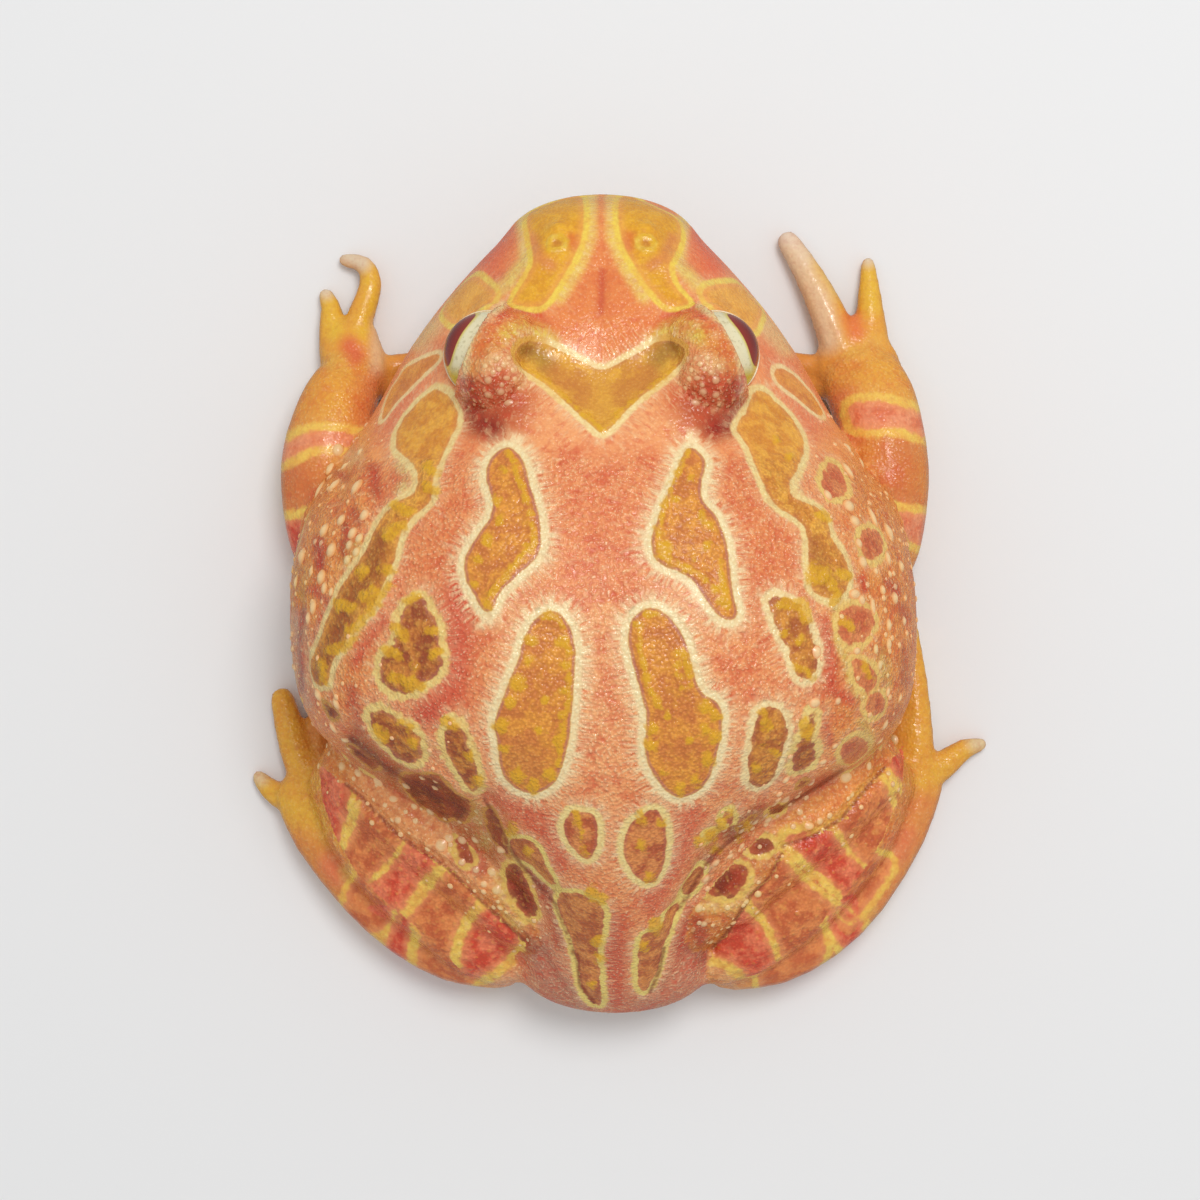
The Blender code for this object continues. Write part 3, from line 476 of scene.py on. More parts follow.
TRUNK_PATCHES = {
    "snout left": ("snout", ((527, 212), (560, 200), (584, 190), (584, 235), (572, 262), (558, 285),
        (547, 303), (536, 308), (510, 305), (515, 295), (528, 275), (534, 262), (530, 240), (527, 225))),
    "snout right": ("snout", ((617, 190), (650, 205), (672, 215), (680, 222), (682, 238), (675, 255),
        (668, 265), (673, 285), (688, 300), (690, 305), (668, 308), (655, 295), (640, 275), (625, 250),
        (619, 232))),
    "lip left": ("lip", ((464, 272), (475, 273), (487, 283), (499, 294), (492, 303), (470, 315), (455, 328),
        (445, 318), (438, 308), (450, 290))),
    "lip right": ("lip", ((700, 290), (712, 284), (735, 283), (742, 282), (748, 290), (765, 310),
        (760, 318), (755, 335), (745, 328), (725, 318), (710, 305), (703, 297))),
    "V": ("V", ((514, 352), (522, 342), (538, 341), (556, 348), (580, 361), (602, 372), (622, 362),
        (642, 351), (656, 341), (672, 340), (686, 348), (684, 360), (668, 376), (650, 390), (634, 402),
        (618, 420), (603, 436), (590, 424), (572, 408), (556, 393), (540, 380), (526, 372), (516, 362))),
    "upper back left": ("back", ((497, 452), (488, 462), (486, 480), (491, 492), (494, 505), (491, 518),
        (482, 530), (472, 545), (464, 560), (466, 580), (473, 592), (484, 612), (492, 612), (500, 590),
        (512, 580), (525, 568), (537, 557), (541, 545), (540, 525), (536, 505), (529, 485), (525, 465),
        (518, 453), (508, 446))),
    "upper back right": ("back", ((692, 447), (684, 452), (678, 470), (672, 485), (664, 502), (656, 525),
        (651, 540), (653, 553), (658, 562), (670, 568), (685, 573), (695, 582), (702, 592), (712, 608),
        (720, 617), (733, 621), (738, 613), (734, 600), (731, 585), (729, 565), (727, 545), (722, 530),
        (715, 515), (707, 507), (701, 500), (700, 485), (704, 470), (706, 462), (698, 452))),
    "lower back left": ("back", ((545, 613), (536, 618), (528, 630), (522, 645), (519, 660), (512, 675),
        (505, 695), (497, 712), (494, 728), (499, 745), (499, 758), (502, 772), (510, 785), (525, 793),
        (540, 793), (555, 783), (561, 768), (567, 750), (570, 725), (572, 700), (574, 675), (575, 650),
        (572, 632), (564, 618), (555, 611))),
    "lower back right": ("back", ((640, 612), (631, 620), (628, 640), (632, 660), (638, 680), (643, 700),
        (648, 715), (646, 735), (645, 755), (650, 768), (658, 780), (665, 790), (677, 798), (692, 795),
        (705, 785), (712, 770), (718, 750), (721, 730), (722, 712), (716, 700), (704, 697), (697, 685),
        (692, 670), (688, 650), (682, 635), (672, 620), (660, 610), (650, 607))),
    "temple left": ("temple", ((437, 388), (430, 392), (415, 405), (402, 420), (396, 435), (395, 448),
        (402, 455), (412, 462), (418, 472), (418, 485), (412, 495), (400, 500), (390, 508), (380, 520),
        (372, 535), (366, 552), (352, 570), (340, 588), (334, 602), (326, 622), (318, 645), (310, 660),
        (311, 675), (318, 687), (328, 685), (330, 670), (335, 655), (348, 640), (354, 624), (366, 616),
        (375, 604), (385, 580), (392, 565), (396, 555), (398, 540), (405, 525), (420, 510), (433, 500),
        (432, 480), (440, 460), (450, 440), (460, 420), (452, 398))),
    "flank left": ("flank", ((424, 597), (430, 610), (437, 625), (441, 645), (443, 665), (437, 675),
        (425, 682), (415, 690), (405, 694), (392, 692), (382, 683), (378, 670), (383, 655), (393, 645),
        (399, 630), (400, 612), (407, 602), (416, 597))),
    "flank low left": ("flank", ((372, 708), (385, 710), (400, 722), (415, 730), (422, 742), (422, 758),
        (415, 765), (402, 762), (390, 750), (378, 738), (368, 720))),
    "flank rear left": ("flank", ((447, 725), (455, 720), (463, 730), (468, 745), (475, 760), (478, 775),
        (480, 790), (470, 792), (460, 778), (450, 760), (443, 745))),
    "cheek left": ("cheek", ((440, 352), (425, 358), (405, 367), (396, 378), (388, 395), (383, 410),
        (380, 426), (387, 415), (396, 402), (408, 390), (420, 378), (432, 366), (442, 358))),
    "temple right": ("temple", ((757, 390), (768, 393), (775, 402), (787, 412), (797, 425), (804, 440),
        (803, 455), (797, 470), (790, 480), (790, 492), (797, 500), (812, 505), (822, 510), (828, 525),
        (832, 540), (840, 550), (848, 565), (850, 580), (845, 592), (835, 600), (822, 597), (812, 590),
        (810, 575), (808, 560), (808, 540), (805, 525), (792, 515), (778, 508), (768, 495), (762, 480),
        (755, 465), (745, 440), (735, 430), (740, 420), (748, 410), (752, 395))),
    "cheek right": ("cheek", ((775, 365), (790, 372), (805, 385), (818, 402), (827, 420), (812, 412),
        (798, 398), (783, 388), (773, 378))),
    "flank right": ("flank right", ((768, 598), (778, 595), (790, 600), (800, 605), (806, 615), (810, 630),
        (815, 640), (817, 655), (817, 670), (810, 680), (800, 680), (794, 668), (788, 650), (780, 635),
        (774, 620), (769, 608))),
    "flank rear right": ("flank right", ((762, 707), (775, 706), (785, 715), (788, 730), (785, 745),
        (780, 760), (775, 775), (765, 787), (752, 787), (747, 775), (749, 755), (753, 735), (755, 718))),
    "flank low right": ("flank", ((808, 712), (817, 712), (815, 725), (812, 738), (817, 750), (813, 765),
        (800, 772), (792, 770), (793, 755), (800, 740), (806, 728))),
    "spot right 1": ("spot", ((842, 608), (858, 603), (872, 610), (876, 622), (870, 635), (858, 646),
        (845, 645), (838, 635), (837, 620))),
    "spot right 2": ("spot", ((852, 657), (865, 660), (875, 668), (878, 682), (872, 693), (860, 690),
        (852, 675))),
    "spot right 3": ("spot", ((842, 740), (855, 733), (868, 740), (872, 755), (862, 768), (848, 768),
        (838, 757))),
    "spot right 4": ("spot", ((822, 470), (832, 458), (842, 470), (850, 490), (840, 500), (828, 498),
        (820, 485))),
    "spot right low": ("spot", ((866, 696), (878, 690), (886, 698), (884, 712), (874, 718), (863, 712))),
    "spot right 5": ("spot", ((858, 532), (872, 526), (884, 538), (884, 554), (872, 564), (860, 552))),
    "spot low right": ("dark", ((764, 806), (772, 800), (784, 802), (788, 812), (778, 817), (766, 815))),
    "rear small left": ("rear small", ((574, 810), (580, 812), (590, 812), (596, 818), (598, 830),
        (597, 845), (592, 857), (586, 860), (580, 856), (570, 845), (564, 833), (564, 822), (568, 815))),
    "rear small right": ("rear small", ((640, 818), (645, 812), (653, 808), (660, 812), (664, 822),
        (667, 835), (666, 850), (664, 865), (657, 880), (650, 884), (640, 880), (632, 872), (625, 858),
        (623, 845), (626, 832), (631, 822))),
    "rear upper left": ("rear", ((510, 836), (525, 838), (535, 842), (541, 852), (545, 865), (552, 875),
        (559, 888), (552, 887), (540, 874), (525, 864), (516, 857), (509, 848))),
    "rear lower left": ("rear", ((559, 892), (570, 893), (580, 892), (588, 898), (596, 900), (602, 905),
        (605, 918), (603, 930), (600, 942), (597, 955), (600, 970), (600, 985), (603, 1002), (598, 1007),
        (588, 1000), (580, 985), (578, 965), (573, 945), (567, 930), (560, 915), (557, 903))),
    "rear upper right": ("rear", ((700, 862), (706, 868), (700, 885), (690, 895), (683, 897), (680, 888),
        (690, 875))),
    "rear lower right": ("rear", ((645, 932), (655, 932), (663, 925), (665, 912), (675, 903), (681, 900),
        (676, 915), (668, 935), (662, 950), (658, 970), (650, 985), (645, 993), (640, 990), (637, 978),
        (638, 955), (640, 940))),
    "hip spot right 1": ("rear", ((703, 832), (712, 828), (718, 834), (716, 843), (706, 842))),
    "hip spot right 2": ("rear", ((722, 812), (730, 808), (735, 818), (730, 828), (723, 822))),
    # The fold patches are painted shade in the folds of the flanks and hips.
    "fold left": ("fold", ((398, 776), (410, 772), (424, 775), (436, 774), (448, 784), (456, 794),
        (470, 800), (474, 812), (464, 824), (452, 818), (442, 822), (430, 810), (420, 808), (408, 794))),
    "fold low left": ("fold", ((484, 806), (492, 807), (498, 818), (503, 832), (508, 848), (512, 858),
        (502, 852), (492, 838), (486, 824))),
    "hip dark left": ("dark", ((506, 866), (512, 862), (522, 868), (530, 885), (537, 905), (538, 915),
        (528, 923), (518, 920), (508, 908), (503, 890), (503, 875))),
    "fold small left": ("fold", ((346, 742), (356, 746), (370, 756), (384, 766), (376, 772), (362, 764),
        (352, 754))),
    "fold tip left": ("fold", ((322, 700), (332, 706), (340, 716), (334, 722), (326, 712))),
    "fold low right": ("fold", ((738, 822), (752, 812), (760, 816), (748, 828), (736, 836))),
    "fold side right": ("fold", ((796, 782), (806, 776), (812, 782), (804, 792), (796, 790))),
}
# The patches of the limbs belong to one of their stretches each and run across it from crease to crease.
LIMB_PATCHES = {
    "forearm left": ("arm band", "arm", ((262, 452), (287, 441), (301, 434), (322, 430), (345, 431),
        (375, 440), (370, 456), (343, 447), (322, 445), (305, 450), (291, 459), (262, 472))),
    "elbow left": ("band", "arm", ((262, 520), (298, 519), (318, 512), (335, 520), (322, 548), (296, 575),
        (262, 575))),
    "forearm right": ("arm band", "arm", ((846, 404), (866, 400), (890, 402), (915, 410), (950, 424),
        (950, 444), (918, 435), (895, 427), (872, 430), (850, 428))),
    "elbow right": ("arm band", "arm", ((885, 508), (905, 512), (950, 516), (950, 552), (915, 545),
        (896, 535))),
    "knee left": ("band", "shank", ((330, 745), (352, 768), (350, 800), (344, 826), (336, 858), (306, 846),
        (306, 790))),
    "brown left": ("brown", "shank", ((368, 782), (386, 800), (412, 828), (396, 853), (382, 868),
        (356, 894), (330, 872), (346, 846), (356, 820))),
    "shank left": ("band", "shank", ((410, 830), (428, 838), (450, 850), (430, 872), (415, 889), (396, 924),
        (378, 914), (356, 894), (372, 882), (386, 872), (396, 860))),
    "brown low left": ("brown", "shank", ((459, 856), (492, 884), (468, 912), (458, 928), (452, 946),
        (446, 992), (416, 964), (394, 940), (410, 914), (424, 896), (440, 878))),
    "heel left": ("band", "shank", ((500, 888), (528, 918), (522, 940), (506, 960), (488, 974), (462, 992),
        (460, 952), (468, 930), (480, 912))),
    "sole brown left": ("brown", "foot", ((346, 886), (366, 868), (402, 902), (382, 938), (340, 930))),
    "sole left": ("band", "foot", ((396, 900), (414, 906), (410, 940), (404, 985), (374, 975), (388, 936))),
    "sole brown low left": ("brown", "foot", ((420, 908), (450, 936), (490, 975), (440, 1005), (410, 990),
        (418, 950))),
    "knee right": ("band", "shank", ((878, 752), (892, 730), (930, 730), (930, 776), (908, 792),
        (895, 776))),
    "brown right": ("brown", "shank", ((828, 806), (850, 782), (870, 764), (886, 784), (894, 808),
        (898, 836), (878, 866), (864, 866), (846, 845))),
    "shank right": ("band", "shank", ((784, 838), (812, 822), (824, 822), (842, 845), (852, 858),
        (872, 874), (856, 908), (838, 890), (818, 872), (804, 860))),
    "brown low right": ("brown", "shank", ((774, 848), (798, 876), (822, 896), (848, 914), (832, 942),
        (800, 970), (784, 968), (778, 944), (768, 922), (742, 890), (760, 862))),
    "heel right": ("band", "shank", ((722, 915), (742, 904), (764, 928), (774, 950), (782, 990),
        (762, 1002), (742, 970), (728, 962), (702, 952))),
    "sole brown right": ("brown", "foot", ((872, 900), (850, 930), (830, 904), (852, 868), (872, 850),
        (900, 862))),
    "sole right": ("band", "foot", ((822, 906), (842, 902), (868, 926), (852, 960), (834, 940))),
    "sole brown low right": ("brown", "foot", ((820, 918), (830, 956), (800, 990), (760, 1000), (755, 962),
        (796, 940))),
    "thigh left": ("dark", "thigh", ((508, 868), (516, 866), (524, 874), (530, 888), (536, 902), (538, 914),
        (530, 921), (520, 914), (512, 900), (506, 884))),
    "thigh speck left": ("dark", "thigh", ((452, 838), (462, 836), (470, 846), (474, 862), (464, 866),
        (456, 854))),
    "thigh right": ("dark", "thigh", ((706, 886), (714, 878), (724, 868), (736, 862), (748, 866),
        (750, 878), (744, 890), (734, 897), (720, 899), (708, 896))),
    "thigh red right": ("band", "thigh", ((782, 838), (800, 832), (812, 830), (806, 838), (790, 844),
        (782, 845))),
    "thigh maroon right": ("dark", "thigh", ((744, 846), (756, 838), (772, 838), (776, 848), (764, 855),
        (750, 854))),
}
# A tint is a path in the photograph, its reach there in pixels, a colour and how strongly it covers. It
# fades over a little more than its reach, and a small one fades out where the hide stands upright, as the
# camera saw nothing of it.
TINT_SPREAD = 1.3
WIDE_TINT = 25
UPRIGHT = 0.10
TRUNK_GROUND = "#F6A266"
TRUNK_TINTS = {
    "snout": (((602, 200), (602, 330)), 130, "#EC8846", 0.9),
    "snout middle": (((602, 262), (602, 325)), 30, "#EC8C4E", 0.7),
    "snout stripe": (((591, 192), (590, 238), (578, 268), (560, 296)), 9, "#F0CE60", 0.95),
    "snout stripe right": (((611, 192), (613, 238), (626, 268), (644, 296)), 9, "#F0CE60", 0.95),
    "snout streak": (((602, 272), (601, 312)), 5, "#C84C34", 0.7),
    "lip red left": (((500, 228), (488, 268)), 22, "#EC7048", 0.95),
    "lip red right": (((700, 230), (714, 268)), 22, "#EC7048", 0.95),
    "lip stripe left": (((521, 214), (526, 240), (526, 262), (508, 283), (496, 292)), 9, "#EDD06C", 0.95),
    "lip stripe right": (((684, 218), (680, 242), (678, 264), (696, 284), (704, 290)), 9, "#EDD06C", 0.95),
    "brow red left": (((500, 314), (508, 308), (522, 308), (536, 316), (552, 336)), 8, "#DC5030", 0.95),
    "brow red right": (((704, 314), (696, 308), (682, 308), (668, 316), (652, 336)), 8, "#DC5030", 0.95),
    "brow left": (((504, 336), (520, 329), (536, 332), (548, 342)), 14, "#E6C650", 1.0),
    "brow right": (((700, 336), (684, 329), (668, 332), (656, 342)), 14, "#E6C650", 1.0),
    "lid mound left": (((494, 394), (506, 404)), 42, "#BC4E2C", 0.95),
    "lid mound right": (((712, 394), (700, 404)), 42, "#BC4E2C", 0.95),
    "lid corner left": (((463, 378), (465, 394), (469, 408)), 6, "#CDB49A", 0.85),
    "lid corner right": (((741, 378), (739, 394), (735, 408)), 6, "#CDB49A", 0.85),
    "lid corner dark left": (((470, 410), (473, 420)), 5, "#8E4A2A", 0.8),
    "lid corner dark right": (((734, 410), (731, 420)), 5, "#8E4A2A", 0.8),
    "lid front left": (((488, 338), (474, 364)), 18, "#E09440", 0.85),
    "lid front right": (((716, 338), (730, 364)), 18, "#E09440", 0.85),
    # The granules tints are pale granules, partly pigment and partly painted highlight of their wet
    # sparkle.
    "granules left": (((484, 366), (500, 358), (514, 368), (524, 382)), 11, "#EDB878", 0.8),
    "granules right": (((720, 366), (704, 360), (692, 366), (682, 380)), 11, "#EDB878", 0.8),
    # The temple red tints are painted shade in the pinch behind the lid mounds.
    "temple red left": (((470, 412), (476, 424), (490, 428)), 18, "#8C1A0A", 1.0),
    "temple red right": (((736, 412), (730, 424), (716, 428)), 18, "#8C1A0A", 1.0),
    "lid red left": (((470, 384), (474, 404)), 10, "#A8301A", 0.8),
    "lid red right": (((734, 384), (730, 404)), 10, "#A8301A", 0.8),
    "below V": (((560, 425), (602, 455), (645, 425)), 36, "#FAB276", 0.9),
    "nape": (((602, 470), (602, 590)), 60, "#EE8C58", 0.6),
    "spine": (((602, 610), (602, 800)), 28, "#FAB276", 0.85),
    "shoulder left": (((440, 440), (430, 520), (440, 580)), 40, "#EC8E54", 0.8),
    "shoulder right": (((748, 470), (770, 560), (750, 600)), 40, "#EC8E54", 0.8),
    "cheek left": (((430, 345), (412, 380), (392, 425)), 26, "#E8764F", 0.7),
    "cheek right": (((770, 345), (792, 378), (816, 420)), 26, "#E8764F", 0.7),
    "cheek pale left": (((432, 326), (420, 342)), 14, "#E9C888", 0.8),
    "lid margin left": (((503, 305), (486, 316), (473, 332), (466, 352), (464, 370)), 6, "#EADB9C", 0.9),
    "lid margin right": (((700, 306), (716, 316), (730, 332), (740, 352), (742, 370)), 6, "#EADB9C", 0.9),
    "cheek pale right": (((768, 326), (786, 346)), 14, "#E9C888", 0.8),
    "red behind left": (((460, 590), (458, 640), (452, 690), (430, 710)), 24, "#D8503A", 0.85),
    "red low left": (((430, 712), (420, 718)), 12, "#C93A28", 0.8),
    "red below left": (((500, 800), (545, 822), (560, 860)), 18, "#DD5E45", 0.7),
    "red below right": (((690, 815), (680, 850), (650, 900)), 18, "#DD5E45", 0.7),
    "red rump": (((612, 925), (616, 1000)), 20, "#CC4630", 0.9),
    "flank left": (((330, 470), (312, 560), (320, 660)), 60, "#F29E48", 0.95),
    "flank right": (((870, 470), (888, 560), (880, 660), (865, 740)), 60, "#F09C48", 0.95),
    "flank edge left": (((298, 618), (300, 660), (305, 700)), 13, "#E0B690", 0.85),
    "flank pale left": (((338, 448), (352, 456)), 14, "#E6BC84", 0.8),
    "flank yellow left": (((346, 562), (356, 545)), 10, "#DDB050", 0.8),
    "flank yellow low left": (((300, 572), (302, 600)), 12, "#DCA446", 0.8),
    "flank red 1": (((373, 468), (376, 492)), 9, "#C25634", 0.95),
    "flank red 2": (((396, 476), (399, 490)), 8, "#DC6840", 0.9),
    "flank red 3": (((354, 512), (358, 522)), 7, "#B85A38", 0.9),
    "flank red 4": (((345, 524), (347, 540)), 6, "#AE4C30", 0.9),
    "flank red 5": (((319, 541), (320, 566)), 8, "#B8402C", 0.95),
    "flank red 6": (((341, 543), (344, 555)), 5, "#B4522F", 0.9),
    "flank red 7": (((337, 474), (346, 477)), 7, "#BE583C", 0.85),
    "flank red 8": (((314, 590), (330, 604), (322, 622), (314, 642)), 7, "#C85840", 0.85),
    "flank red 9": (((303, 610), (300, 640), (302, 690)), 4, "#A0584A", 0.75),
    "flank red 10": (((355, 662), (368, 640), (384, 618)), 9, "#D6543A", 0.8),
    "flank red 11": (((352, 690), (360, 730)), 9, "#C2553A", 0.8),
    "flank red 12": (((850, 700), (832, 690), (830, 650), (824, 622)), 10, "#D44E36", 0.85),
    "flank red 13": (((888, 582), (896, 592)), 7, "#BC5036", 0.9),
    "flank red 14": (((862, 578), (865, 590)), 5, "#C83A24", 0.9),
    "flank red 15": (((905, 650), (904, 684)), 6, "#C4703C", 0.8),
    "flank red 16": (((900, 606), (906, 618)), 7, "#C6643C", 0.8),
    "flank red 17": (((888, 722), (898, 712)), 7, "#CC7844", 0.8),
    "flank red 18": (((826, 726), (830, 742)), 6, "#CC4A34", 0.8),
    "flank red 19": (((806, 784), (830, 782), (836, 794)), 8, "#CE5A38", 0.8),
    "flank stripe right": (((836, 606), (838, 640), (848, 664), (852, 684), (863, 700)), 6, "#DCBC4C",
        0.95),
    "flank stripe low right": (((862, 722), (870, 740), (873, 760), (862, 776), (846, 790)), 6, "#DEBA48",
        0.95),
    "flank olive right": (((882, 650), (886, 684)), 8, "#D6B45A", 0.8),
    "temple bulge left": (((401, 464), (407, 478), (402, 492)), 9, "#DFC276", 0.95),
    "temple bulge right": (((799, 470), (795, 484), (800, 494)), 6, "#E6CC88", 0.9),
    "temple rim left": (((372, 540), (362, 562), (348, 590), (334, 616), (318, 650)), 5, "#DEC66C", 0.9),
    # The fold band, the fold lines and the fold dark and hip dark tints are painted shade along the folds.
    "fold band left": (((366, 752), (400, 784), (446, 812), (486, 848)), 28, "#B8703C", 0.85),
    "fold olive left": (((470, 788), (476, 812), (486, 842)), 9, "#CCA458", 0.9),
    "fold line left": (((352, 740), (378, 762), (400, 776)), 8, "#6E2A18", 0.9),
    "hip dark left": (((512, 850), (530, 872), (550, 892)), 10, "#8A3422", 0.85),
    "fold dark right": (((760, 812), (742, 824), (730, 834)), 12, "#8A3824", 0.85),
    "fold line right": (((842, 770), (812, 790), (775, 812)), 8, "#B8583A", 0.5),
    "hip dark right": (((716, 850), (702, 868), (690, 890)), 8, "#9C4028", 0.8),
    "rump pale left": (((536, 950), (552, 980), (580, 1002)), 30, "#BC8068", 0.9),
    "rump pale right": (((700, 950), (682, 980), (650, 1004)), 30, "#CC8A6C", 0.9),
    "rump red left": (((545, 890), (556, 915), (562, 940)), 11, "#AA3A26", 0.9),
    "rump red right": (((690, 915), (680, 945)), 14, "#B43A26", 0.85),
    "rump maroon": (((705, 955), (718, 965)), 16, "#A24A42", 0.8),
}
LIMB_GROUND = "#E39444"
LIMB_TINTS = {
    "hand left": (((330, 300), (345, 350), (345, 395)), 60, "#EAAA3E", 0.9),
    "hand right": (((850, 290), (868, 345), (880, 380)), 60, "#EAAA40", 0.9),
    "finger left": (((331, 296), (334, 330)), 14, "#EABF3C", 0.9),
    "second finger left": (((370, 270), (373, 298), (362, 330)), 14, "#EABC3A", 0.9),
    "inner finger left": (((378, 322), (376, 370)), 10, "#E9C08E", 0.9),
    "finger right": (((868, 266), (870, 305)), 16, "#EABF3C", 0.9),
    "second finger right": (((808, 258), (836, 290)), 14, "#E8BE62", 0.8),
    "wrist left": (((322, 360), (345, 362)), 12, "#E8B24C", 0.7),
    "wrist right": (((848, 350), (875, 342)), 14, "#EAB652", 0.7),
    "knuckle left": (((350, 346), (356, 356)), 13, "#E06A42", 0.9),
    "knuckle right": (((852, 318), (856, 332)), 13, "#E87B42", 0.9),
    "tip left": (((320, 284), (326, 290)), 12, "#E4D2B4", 0.95),
    "second tip left": (((346, 256), (362, 262)), 13, "#DFCDAE", 0.95),
    "tip right": (((868, 254), (868, 258)), 12, "#E4D2B4", 0.95),
    "second tip right": (((782, 228), (796, 256)), 20, "#E8D6BE", 0.95),
    "inner finger right": (((792, 256), (818, 300), (828, 340)), 17, "#EBCFA6", 0.9),
    "forearm inside left": (((372, 385), (366, 415)), 20, "#E0764A", 0.7),
    "forearm inside right": (((845, 400), (850, 430)), 18, "#DF7048", 0.7),
    "forearm left": (((300, 480), (310, 500)), 30, "#CF6A3E", 0.7),
    "forearm right": (((900, 455), (900, 490)), 30, "#D2723F", 0.7),
    "upper toe left": (((280, 690), (290, 740), (310, 790)), 24, "#E8B23C", 0.95),
    "lower toe left": (((262, 785), (290, 805), (325, 830)), 24, "#E8B63C", 0.95),
    "toe tip left": (((255, 770), (259, 776)), 13, "#DECDA0", 0.95),
    "upper toe right": (((925, 620), (928, 700), (915, 750)), 26, "#E8B03C", 0.95),
    "lower toe right": (((975, 746), (950, 758), (925, 780)), 22, "#E8B43C", 0.95),
    "toe tip right": (((978, 742), (990, 742)), 14, "#DECDA0", 0.95),
    "sole left": (((310, 850), (350, 900), (390, 945)), 26, "#DD8E44", 0.8),
    "sole blush left": (((330, 865), (338, 875)), 16, "#E47A52", 0.8),
    "sole yellow left": (((348, 872), (356, 878)), 11, "#EABF5C", 0.8),
    "sole right": (((925, 810), (900, 880), (860, 940)), 26, "#E0904A", 0.8),
    "sole blush right": (((905, 838), (898, 852)), 16, "#E68458", 0.7),
    "sole yellow right": (((856, 902), (868, 908)), 11, "#EABF5C", 0.8),
    "thigh left": (((375, 785), (430, 830), (480, 870)), 34, "#FFB270", 0.95),
    "thigh right": (((850, 790), (810, 825), (780, 840)), 30, "#FAA656", 0.95),
    "thigh margin right": (((884, 770), (858, 796), (841, 817), (813, 834)), 7, "#F2C050", 0.8),
    "thigh yellow left": (((500, 868), (505, 905), (515, 925)), 9, "#EDC060", 0.85),
    "thigh yellow right": (((700, 905), (730, 905), (750, 895)), 10, "#EBC062", 0.85),
    "thigh red left": (((462, 845), (480, 868)), 12, "#B9442E", 0.8),
    "thigh red right": (((748, 850), (766, 846)), 14, "#A82E1C", 0.85),
    "hip maroon left": (((530, 945), (545, 950)), 14, "#9C3E30", 0.85),
    "hip maroon right": (((698, 922), (700, 940)), 12, "#A03A2A", 0.85),
    "heel pale left": (((500, 985), (520, 978)), 16, "#EDB184", 0.8),
    "heel pale right": (((715, 965), (735, 985)), 16, "#EBAE72", 0.8),
}
# Inside the patches some places differ from the look of their patch.
INNER_TINTS = {
    # The hollow tints darken the V in its hollows: painted shade.
    "hollow left": (((528, 350), (540, 356), (548, 364)), 13, "#B08436", 0.85),
    "hollow right": (((675, 350), (664, 352), (655, 362)), 13, "#B08436", 0.85),
    "hollow dark left": (((523, 350), (529, 349)), 6, "#9A6C2C", 0.7),
    "hollow dark right": (((668, 343), (676, 346)), 6, "#9A6C2C", 0.7),
    "V middle": (((602, 380), (602, 425)), 20, "#E2A440", 0.8),
    "V arm left": (((556, 372), (584, 394)), 14, "#D0863C", 0.8),
    "V arm right": (((648, 372), (622, 394)), 14, "#D0863C", 0.8),
    "nostril left": (((556, 243), (558, 243)), 5, "#C8802E", 0.9),
    "nostril right": (((645, 243), (647, 243)), 5, "#C8802E", 0.9),
    "nostril orange left": (((572, 238), (574, 244)), 8, "#E27434", 0.8),
    "nostril orange right": (((629, 236), (628, 246)), 8, "#E27434", 0.8),
    "nostril ring left": (GOLD_RIDGES["nostril ring left"][0], 3, "#F0CC58", 0.95),
    "nostril ring right": (GOLD_RIDGES["nostril ring right"][0], 3, "#F0CC58", 0.95),
    "snout red left": (((532, 238), (540, 258), (552, 266)), 8, "#E08A4A", 0.8),
    "snout red right": (((672, 238), (664, 256), (650, 266)), 8, "#E08A4A", 0.8),
    "temple dark left": (((378, 542), (372, 572), (350, 600), (330, 650), (320, 678)), 14, "#A05828", 0.85),
    "temple dark right": (((810, 545), (820, 570), (832, 590)), 14, "#B06A30", 0.7),
    "lower back low left": (((520, 760), (540, 780)), 24, "#D88A42", 0.8),
}
RIM_TINTS = {
    "V tip left": (((512, 364), (513, 350), (522, 340), (538, 338)), 13, "#DCA646", 0.95),
    "V tip right": (((692, 362), (690, 350), (682, 339), (664, 337)), 13, "#DCA646", 0.95),
    "V low left": (((530, 376), (560, 398)), 8, "#EEC873", 0.6),
    "V low right": (((672, 376), (646, 396)), 8, "#EEC873", 0.6),
}
# The flanks carry a row of spots too low for the camera: the middle of each along the body and above the
# floor, its half length and its half height, in mm.
SIDE_SPOTS = {
    "left": ((-9, 18, 3.0, 2.2), (0, 16, 2.4, 1.7), (9, 18, 3.2, 2.4), (19, 16, 2.6, 2.0)),
    "right": ((-7, 16, 2.8, 2.0), (3, 18, 2.4, 1.8), (13, 16, 3.0, 2.2), (22, 18, 2.6, 2.0)),
}
UNDERSIDE = "#EFD8BC"
# An outline is laid on the hide with this many pixels from spot to spot. On a steep side it reaches only so
# many times as far from its middle as the camera sees it do, and is then evened out, but not in the folds.
SPOT_SPACING = 1.5
MOST_STRETCH = 2.4
RING_SOFTENING = 14
DEEP_IN_FOLD = ("hip dark left", "fold left", "fold low left")
PHOTO_PIXEL = 0.135
BEAD_GROWTH = 1.3
# Distances beyond which nothing shows, in mm.
FAR_EDGE = 9.0
FAR_LINE = 4.0
LINE_SEARCH = 30
FOLD_LINES = {
    "hip left": ((484, 798), (496, 818), (506, 842), (522, 866), (540, 886), (556, 905), (566, 930),
        (574, 955)),
    "hip right": ((742, 832), (716, 852), (702, 870), (690, 892), (676, 914)),
    "flank left": ((352, 740), (378, 762), (402, 778), (432, 790), (462, 812)),
    "flank right": ((842, 770), (812, 790), (775, 812)),
    "rump left": ((577, 955), (580, 985), (594, 1002)),
    "rump right": ((664, 948), (659, 972), (650, 992)),
}


def tint(code):
    """A colour written as on a paint chart, as light."""
    shares = np.array([int(code[k:k + 2], 16) / 255 for k in (1, 3, 5)])
    return np.where(shares <= 0.04045, shares / 12.92, ((shares + 0.055) / 1.055) ** 2.4)


